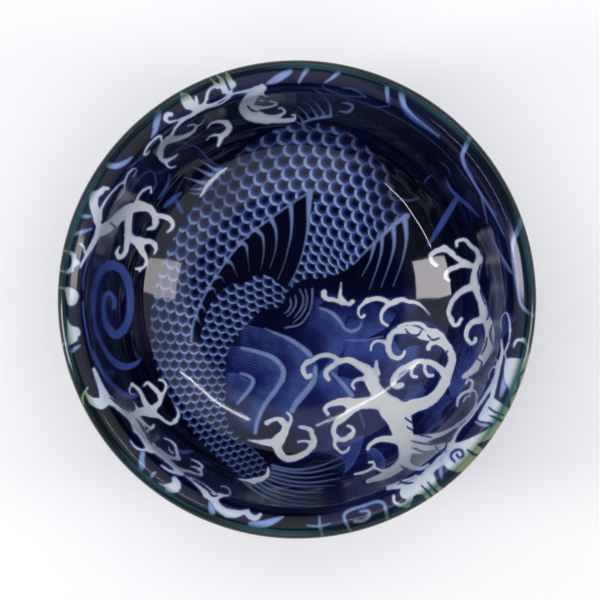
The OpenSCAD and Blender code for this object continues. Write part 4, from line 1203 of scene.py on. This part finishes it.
def build_scales():
    """Overlapping scales with round tail ends, from the place across the fish and the row along it."""
    sockets = [("Across", "Float"), ("Row", "Float")]
    sheet, given = new_group("fish scales", sockets, [("Rim", "Float"), ("Web", "Float")])
    rim = 0.0
    web = 0.0
    free = 1.0
    for k in (0, 1):
        number = sheet.math("ADD", sheet.math("FLOOR", given["Row"]), k)
        odd = sheet.math("FLOORED_MODULO", number, 2.0)
        place = sheet.math("MULTIPLY_ADD", odd, -0.5, given["Across"])
        du = sheet.math("SUBTRACT", place, sheet.math("ROUND", place))
        dv = sheet.math("MULTIPLY", sheet.math("SUBTRACT", given["Row"], number), ROW_SHARE)
        wide = sheet.math("MULTIPLY", du, du)
        tail = sheet.math("MAXIMUM", dv, 0.0)
        far = sheet.math("POWER", sheet.math("MULTIPLY_ADD", tail, tail, wide), 0.5)
        inside = sheet.ease(far, SCALE_SIZE + SCALE_EDGE, SCALE_SIZE - SCALE_EDGE)
        inside = sheet.math("MULTIPLY", inside, free)
        tailward = sheet.ease(sheet.math("DIVIDE", tail, sheet.math("ADD", far, 0.001)), 0.0, 0.9)
        band = sheet.math("MULTIPLY_ADD", tailward, -RIM_GROWTH, SCALE_SIZE - RIM_WIDTH)
        lit = sheet.ease(sheet.math("SUBTRACT", far, band), -RIM_EDGE, RIM_EDGE)
        lit = sheet.math("MULTIPLY", lit, sheet.math("MULTIPLY_ADD", tailward, 1 - RIM_SIDE, RIM_SIDE))
        rim = sheet.math("MULTIPLY_ADD", lit, inside, rim)
        low = sheet.math("ADD", dv, CORE_OFFSET)
        core = sheet.math("POWER", sheet.math("MULTIPLY_ADD", low, low, wide), 0.5)
        web = sheet.math("MULTIPLY_ADD", sheet.ease(core, *CORE_EDGE), inside, web)
        free = sheet.math("SUBTRACT", free, inside)
    sheet.add("NodeGroupOutput", rim, web)
    return sheet.tree


def build_picture():
    """Colours of the cobalt transfer from the values painted on the mesh."""
    sheet, _ = new_group("carp and waves", [], [("Colour", "Color")])
    place = sheet.add("ShaderNodeTexCoord").outputs["Object"]
    mottle = sheet.noise(place, 420.0, 3.0)
    cloud = sheet.noise(place, 90.0)
    swell = sheet.read("swell")
    level = sheet.math("MULTIPLY_ADD", swell, 0.55, sheet.math("MULTIPLY", sheet.read("ground"), 0.62))
    level = sheet.math("ADD", level, sheet.ease(cloud, NOISE_LOW, NOISE_HIGH, -0.06, 0.06))
    colour = WASHES[0]
    for wash, low, high in zip(WASHES[1:], (0.0, 0.2, 0.5), (0.26, 0.55, 0.9)):
        colour = sheet.mix(sheet.ease(level, low, high), colour, wash)
    wander = sheet.math("MULTIPLY_ADD", cloud, LINE_WANDER, sheet.read("ridge"))
    wave = sheet.math("PINGPONG", wander, LINE_HALF_GAP)
    lines = sheet.math("MULTIPLY", sheet.ease(wave, 0.05, 0.22), sheet.ease(swell, 0.05, 0.6))
    lines = sheet.math("MULTIPLY", lines, sheet.ease(mottle, 0.35, 0.6, 0.08, 0.32))
    colour = sheet.mix(lines, colour, WAVE_LINE)
    colour = sheet.mix(sheet.ease(sheet.read("faint"), 0.2, -0.36), colour, FAINT_BLUE)
    scales = sheet.add("ShaderNodeGroup", node_tree=scales_group)
    sheet.feed(scales.inputs["Across"], sheet.read("scale_across"))
    sheet.feed(scales.inputs["Row"], sheet.read("scale_row"))
    bright = sheet.ease(sheet.read("glow"), 0.15, 1.0, 0.1, 1.0)
    web = sheet.math("MULTIPLY", scales.outputs["Web"], bright)
    skin = sheet.mix(web, SKIN_DARK, SKIN_LIGHT)
    rim = sheet.math("MULTIPLY", scales.outputs["Rim"], bright)
    skin = sheet.mix(rim, skin, SCALE_RIM)
    fin = sheet.read("fin")
    body = sheet.math("MULTIPLY", sheet.ease(sheet.read("body"), 0.2, -0.4), sheet.ease(fin, -0.12, 0.12))
    colour = sheet.mix(body, colour, skin)
    colour = sheet.mix(sheet.ease(fin, 0.1, -0.1, 0.0, 0.8), colour, FIN_DARK)
    colour = sheet.mix(sheet.ease(sheet.read("pale"), 0.16, -0.42), colour, PALE_BLUE)
    foam = sheet.math("ADD", sheet.read("foam"), sheet.uneven(place, 900.0, -0.04, 0.04))
    colour = sheet.mix(sheet.ease(foam, 0.32, -0.06, 0.0, 0.5), colour, FOAM_EDGE)
    white = sheet.ease(foam, 0.02, -0.2)
    rise = sheet.ease(sheet.add("ShaderNodeSeparateXYZ", place).outputs[2], *FOAM_HEIGHTS)
    colour = sheet.mix(white, colour, sheet.mix(rise, FOAM_WHITE, FOAM_HIGH))
    wash = sheet.math("MULTIPLY", sheet.ease(foam, -0.75, -0.1, 0.0, 0.4), white)
    wash = sheet.math("MULTIPLY", wash, sheet.ease(cloud, 0.45, 0.62))
    colour = sheet.mix(wash, colour, FOAM_WASH)
    speck = sheet.ease(mottle, 0.35, 0.65, 0.9, 1.06)
    grain = sheet.add("ShaderNodeCombineColor", speck, speck, speck).outputs[0]
    grained = sheet.mix(1.0, colour, grain, "MULTIPLY")
    colour = sheet.mix(sheet.ease(white, 0.0, 1.0, 1.0, 0.15), colour, grained)
    sheet.add("NodeGroupOutput", colour)
    return sheet.tree


scales_group = build_scales()
picture_group = build_picture()


def new_material(name):
    material = bpy.data.materials.new(name)
    material.use_nodes = True
    material.node_tree.nodes.clear()
    sheet = Sheet(material.node_tree)
    shader = sheet.add("ShaderNodeBsdfPrincipled")
    sheet.add("ShaderNodeOutputMaterial", shader.outputs[0])
    place = sheet.add("ShaderNodeTexCoord").outputs["Object"]
    return material, sheet, shader.inputs, place


def relief(sheet, height, strength, distance):
    """A bump normal; the distance is in metres."""
    bump = sheet.add("ShaderNodeBump")
    sheet.feed(bump.inputs["Height"], height)
    sheet.feed(bump.inputs["Strength"], strength)
    sheet.feed(bump.inputs["Distance"], distance)
    return bump.outputs[0]


def build_printed(name, tinted):
    """Clear glossy glaze over the transfer; the lip's glaze is also stained green."""
    material, sheet, shader, place = new_material(name)
    picture = sheet.add("ShaderNodeGroup", node_tree=picture_group)
    colour = picture.outputs["Colour"]
    if tinted:
        tint = sheet.read("tint")
        streak = sheet.read("streak")
        stain = sheet.mix(sheet.ease(streak, 0.2, 0.5), STAIN_WARM, STAIN_COOL)
        colour = sheet.mix(tint, colour, stain, "MULTIPLY")
        green = sheet.math("MULTIPLY", tint, sheet.ease(streak, 0.2, 0.8, 0.1, 0.75))
        colour = sheet.mix(green, colour, STAIN_DEEP)
    sheet.feed(shader["Base Color"], colour)
    height = sheet.add("ShaderNodeSeparateXYZ", place).outputs[2]
    dull = LIP_DULL if tinted else sheet.ease(height, *DULL_HEIGHTS, 0.0, WALL_DULL)
    sheet.feed(shader["Roughness"], sheet.math("ADD", sheet.uneven(place, 60.0, 0.035, 0.06), dull))
    sheet.feed(shader["IOR"], 1.52)
    sheet.feed(shader["Normal"], relief(sheet, sheet.uneven(place, 55.0, 0.0, 1.0), 0.12, 0.0004))
    return material


def build_plain(name, first, second, scale, roughness, bump):
    """Undecorated clay or glaze, slightly uneven in colour and surface."""
    material, sheet, shader, place = new_material(name)
    sheet.feed(shader["Base Color"], sheet.mix(sheet.uneven(place, scale, 0.0, 1.0), first, second))
    sheet.feed(shader["Roughness"], sheet.uneven(place, scale, roughness * 0.85, roughness * 1.15))
    sheet.feed(shader["Normal"], relief(sheet, sheet.uneven(place, scale * 3, 0.0, 1.0), bump, 0.0002))
    return material


inside_coat = build_printed("clear glaze over the carp", False)
outside_coat = build_printed("clear glaze over the waves", False)
lip_coat = build_printed("green glaze on the lip", True)
clay = build_plain("bare porcelain", shade(226, 219, 206), shade(206, 197, 182), 900.0, 0.62, 0.3)
well_coat = build_plain("clear glaze on white", shade(214, 222, 232), shade(200, 211, 226), 240.0, 0.09, 0.1)


# Pieces ------------------------------------------------------------------------------------------


def finish_piece(piece, slot, *nodes):
    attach(piece, "root")
    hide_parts(*nodes)


def outside_place(co):
    """Angle round the cup and height above the table of each point."""
    return np.arctan2(co[:, 1], co[:, 0]), co[:, 2]


# Stain of the lip's glaze, in millimetres. Inside, it starts at the radius STAIN_START and is whole
# STAIN_FADE further out. Beyond the crest it fades from OUTER_FADE_START on, over OUTER_FADE, and STAIN_LEFT
# of it stays.
STAIN_START = 44.6
STAIN_FADE = 1.4
OUTER_FADE_START = 1.5
OUTER_FADE = 4.5
STAIN_LEFT = 0.1
# Spacing and number of the stain's streaks.
STREAK_GAP = 0.3
STREAKS = 134
# The outside picture takes over from the inside one this far beyond the crest. Before the crest it is lifted
# out of reach.
TAKEOVER = 3.0
OUT_OF_REACH = 99


def paint_lip(co, travelled):
    """The inside picture up to the crest of the lip and the outside picture beyond it, with the stain."""
    over = np.maximum(travelled - np.interp(CREST, [LIP_START, LIP_STOP], [0, travelled.max()]), 0)
    beyond_crest = over > 0
    x, y = from_above(co)
    outward = np.where(beyond_crest, (cup_line[CREST, 0] + over) / np.hypot(co[:, 0], co[:, 1]), 1)
    values = paint_inside(
        np.where(beyond_crest, co[:, 0] * outward, x), np.where(beyond_crest, co[:, 1] * outward, y))
    turns, heights = outside_place(co)
    outside = paint_outside(turns, heights + np.where(beyond_crest, 0, OUT_OF_REACH))
    for key in ("foam", "pale", "faint"):
        values[key] = np.minimum(values[key], outside[key])
    change = np.clip(over / TAKEOVER, 0, 1)
    for key in ("ground", "ridge", "swell"):
        values[key] = values[key] * (1 - change) + outside[key] * change
    inner_stain = np.clip(np.hypot(x, y) - STAIN_START, 0, STAIN_FADE) / STAIN_FADE
    outer_stain = 1 - (1 - STAIN_LEFT) * np.clip((over - OUTER_FADE_START) / OUTER_FADE, 0, 1)
    values["tint"] = np.where(beyond_crest, outer_stain, inner_stain)
    bands = np.interp(travelled, np.arange(STREAKS) * STREAK_GAP, np.random.default_rng(7).random(STREAKS))
    runs = 0.5 + 0.5 * np.sin(3 * turns + 1 + travelled) * np.cos(7 * turns + 2 - 0.7 * travelled)
    values["streak"] = np.clip(bands * (0.2 + runs) * 0.9, 0, 1)
    return values


piece, co, _ = build_piece("inside_floor", 0, FLOOR_END, floor_tree, inside_coat, Cells=220)
store(piece, paint_inside(*from_above(co)))
finish_piece(piece, "inside_glaze", "inside_glaze", "inside_transfer")

piece, co, _ = build_piece(
    "inside_wall", FLOOR_END, LIP_START, band_tree, inside_coat, Segments=880, Rings=112)
store(piece, paint_inside(*from_above(co)))
finish_piece(piece, "inside_glaze", "inside_glaze", "inside_transfer")

piece, co, travelled = build_piece("lip", LIP_START, LIP_STOP, band_tree, lip_coat, Segments=880, Rings=80)
store(piece, paint_lip(co, travelled))
finish_piece(piece, "lip_glaze", "lip_glaze")

piece, co, _ = build_piece(
    "outside_wall", LIP_STOP, GLAZE_END, band_tree, outside_coat, Segments=880, Rings=110)
store(piece, paint_outside(*outside_place(co)))
finish_piece(piece, "outside_glaze", "outside_glaze", "outside_transfer")

piece, _, _ = build_piece("foot_face", GLAZE_END, WELL_START, band_tree, clay, Segments=440, Rings=40)
finish_piece(piece, "fired_clay", "foot_ring")

piece, _, _ = build_piece("foot_well", WELL_START, LINE_END, band_tree, well_coat, Segments=440, Rings=70)
finish_piece(piece, "foot_well_glaze", "foot_well_glaze")

body_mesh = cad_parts["clay_body"].data
body_mesh.materials.clear()
body_mesh.materials.append(clay)


# Floor, camera and light -------------------------------------------------------------------------


def place_light(name, spot, target, width, height, watts, colour=(1.0, 1.0, 1.0)):
    """A soft rectangular light turned to face the target; lengths in metres."""
    light = bpy.data.lights.new(name, "AREA")
    light.shape = "RECTANGLE"
    light.size = width
    light.size_y = height
    light.energy = watts
    light.color = colour
    thing = bpy.data.objects.new(name, light)
    thing.location = spot
    toward = Vector(target) - Vector(spot)
    thing.rotation_euler = toward.to_track_quat("-Z", "Y").to_euler()
    bpy.context.scene.collection.objects.link(thing)
    return thing


floor_mesh = bpy.data.meshes.new("floor")
floor_mesh.from_pydata([(-1.5, -1.5, 0), (1.5, -1.5, 0), (1.5, 1.5, 0), (-1.5, 1.5, 0)], [], [(0, 1, 2, 3)])
floor = bpy.data.objects.new("floor", floor_mesh)
floor_paper = build_plain("pale paper", shade(250, 250, 250), shade(248, 248, 248), 5.0, 0.9, 0.0)
floor_mesh.materials.append(floor_paper)
bpy.context.scene.collection.objects.link(floor)

# The studio's sky is dark straight above and towards one side, and fades towards the floor.
DARK_SIDE = (-0.64, -0.45, 0.62)
SKY_COLOUR = (0.82, 0.87, 0.94, 1.0)
world = bpy.data.worlds.new("soft studio")
world.use_nodes = True
sky = Sheet(world.node_tree)
toward = sky.add("ShaderNodeTexCoord").outputs["Generated"]
up = sky.add("ShaderNodeSeparateXYZ", toward).outputs[2]
facing = sky.add("ShaderNodeVectorMath", toward, DARK_SIDE, operation="DOT_PRODUCT").outputs["Value"]
dim = sky.math("MULTIPLY", sky.ease(up, 0.76, 0.8, 0.8, 0.03), sky.ease(facing, 0.86, 0.92, 1.0, 0.15))
dim = sky.math("MULTIPLY", dim, sky.ease(up, -0.1, 0.55, 0.4, 1.0))
backdrop = world.node_tree.nodes["Background"].inputs
sky.feed(backdrop["Color"], SKY_COLOUR)
sky.feed(backdrop["Strength"], dim)
bpy.context.scene.world = world


# The middle of the bowl, which the lights face from this far away.
BOWL = Vector((0, 0, 0.01))
LIGHT_DISTANCE = 0.6
STRIP_WIDTH = 0.005


def spot_at(turn, rise):
    """A light's place, seen from the bowl at the given turn and rise in degrees."""
    a = math.radians(turn)
    e = math.radians(rise)
    way = Vector((math.cos(a) * math.cos(e), math.sin(a) * math.cos(e), math.sin(e)))
    return way * LIGHT_DISTANCE + BOWL


def place_strip(name, start, stop, watts):
    """A thin straight light between two places, facing the cup."""
    middle = (start + stop) / 2
    strip = place_light(name, middle, BOWL, (stop - start).length, STRIP_WIDTH, watts)
    forward = BOWL - middle
    along = (stop - start).normalized()
    side = along.cross(forward).normalized()
    strip.rotation_euler = Matrix((along, side, along.cross(side))).transposed().to_euler()


above = place_light("overhead", (0, 0, 1.3), (0, 0, 0), 1.2, 1.2, 10.5, (1.0, 0.99, 0.975))
above.visible_glossy = False
place_light("left box", spot_at(189, 36), BOWL, 0.13, 0.28, 1.0, (1.0, 0.94, 0.97))
place_light("right box", spot_at(-9, 36), BOWL, 0.13, 0.28, 0.6, (1.0, 0.93, 0.95))
place_strip("first strip", spot_at(31, 43.5), spot_at(68, 45.5), 0.1)
place_strip("second strip", spot_at(99, 46.5), spot_at(153, 43.5), 0.1)
place_strip("third strip", spot_at(201, 39), spot_at(233, 38), 0.08)

camera_data = bpy.data.cameras.new("camera")
camera_data.sensor_width = 36.0
camera_data.lens = 181.9
camera = bpy.data.objects.new("camera", camera_data)
camera.location = (0.0006, -0.0001, (EYE + LIP_Z) * MM)
bpy.context.scene.collection.objects.link(camera)
bpy.context.scene.camera = camera
bpy.context.scene.view_settings.view_transform = "Standard"
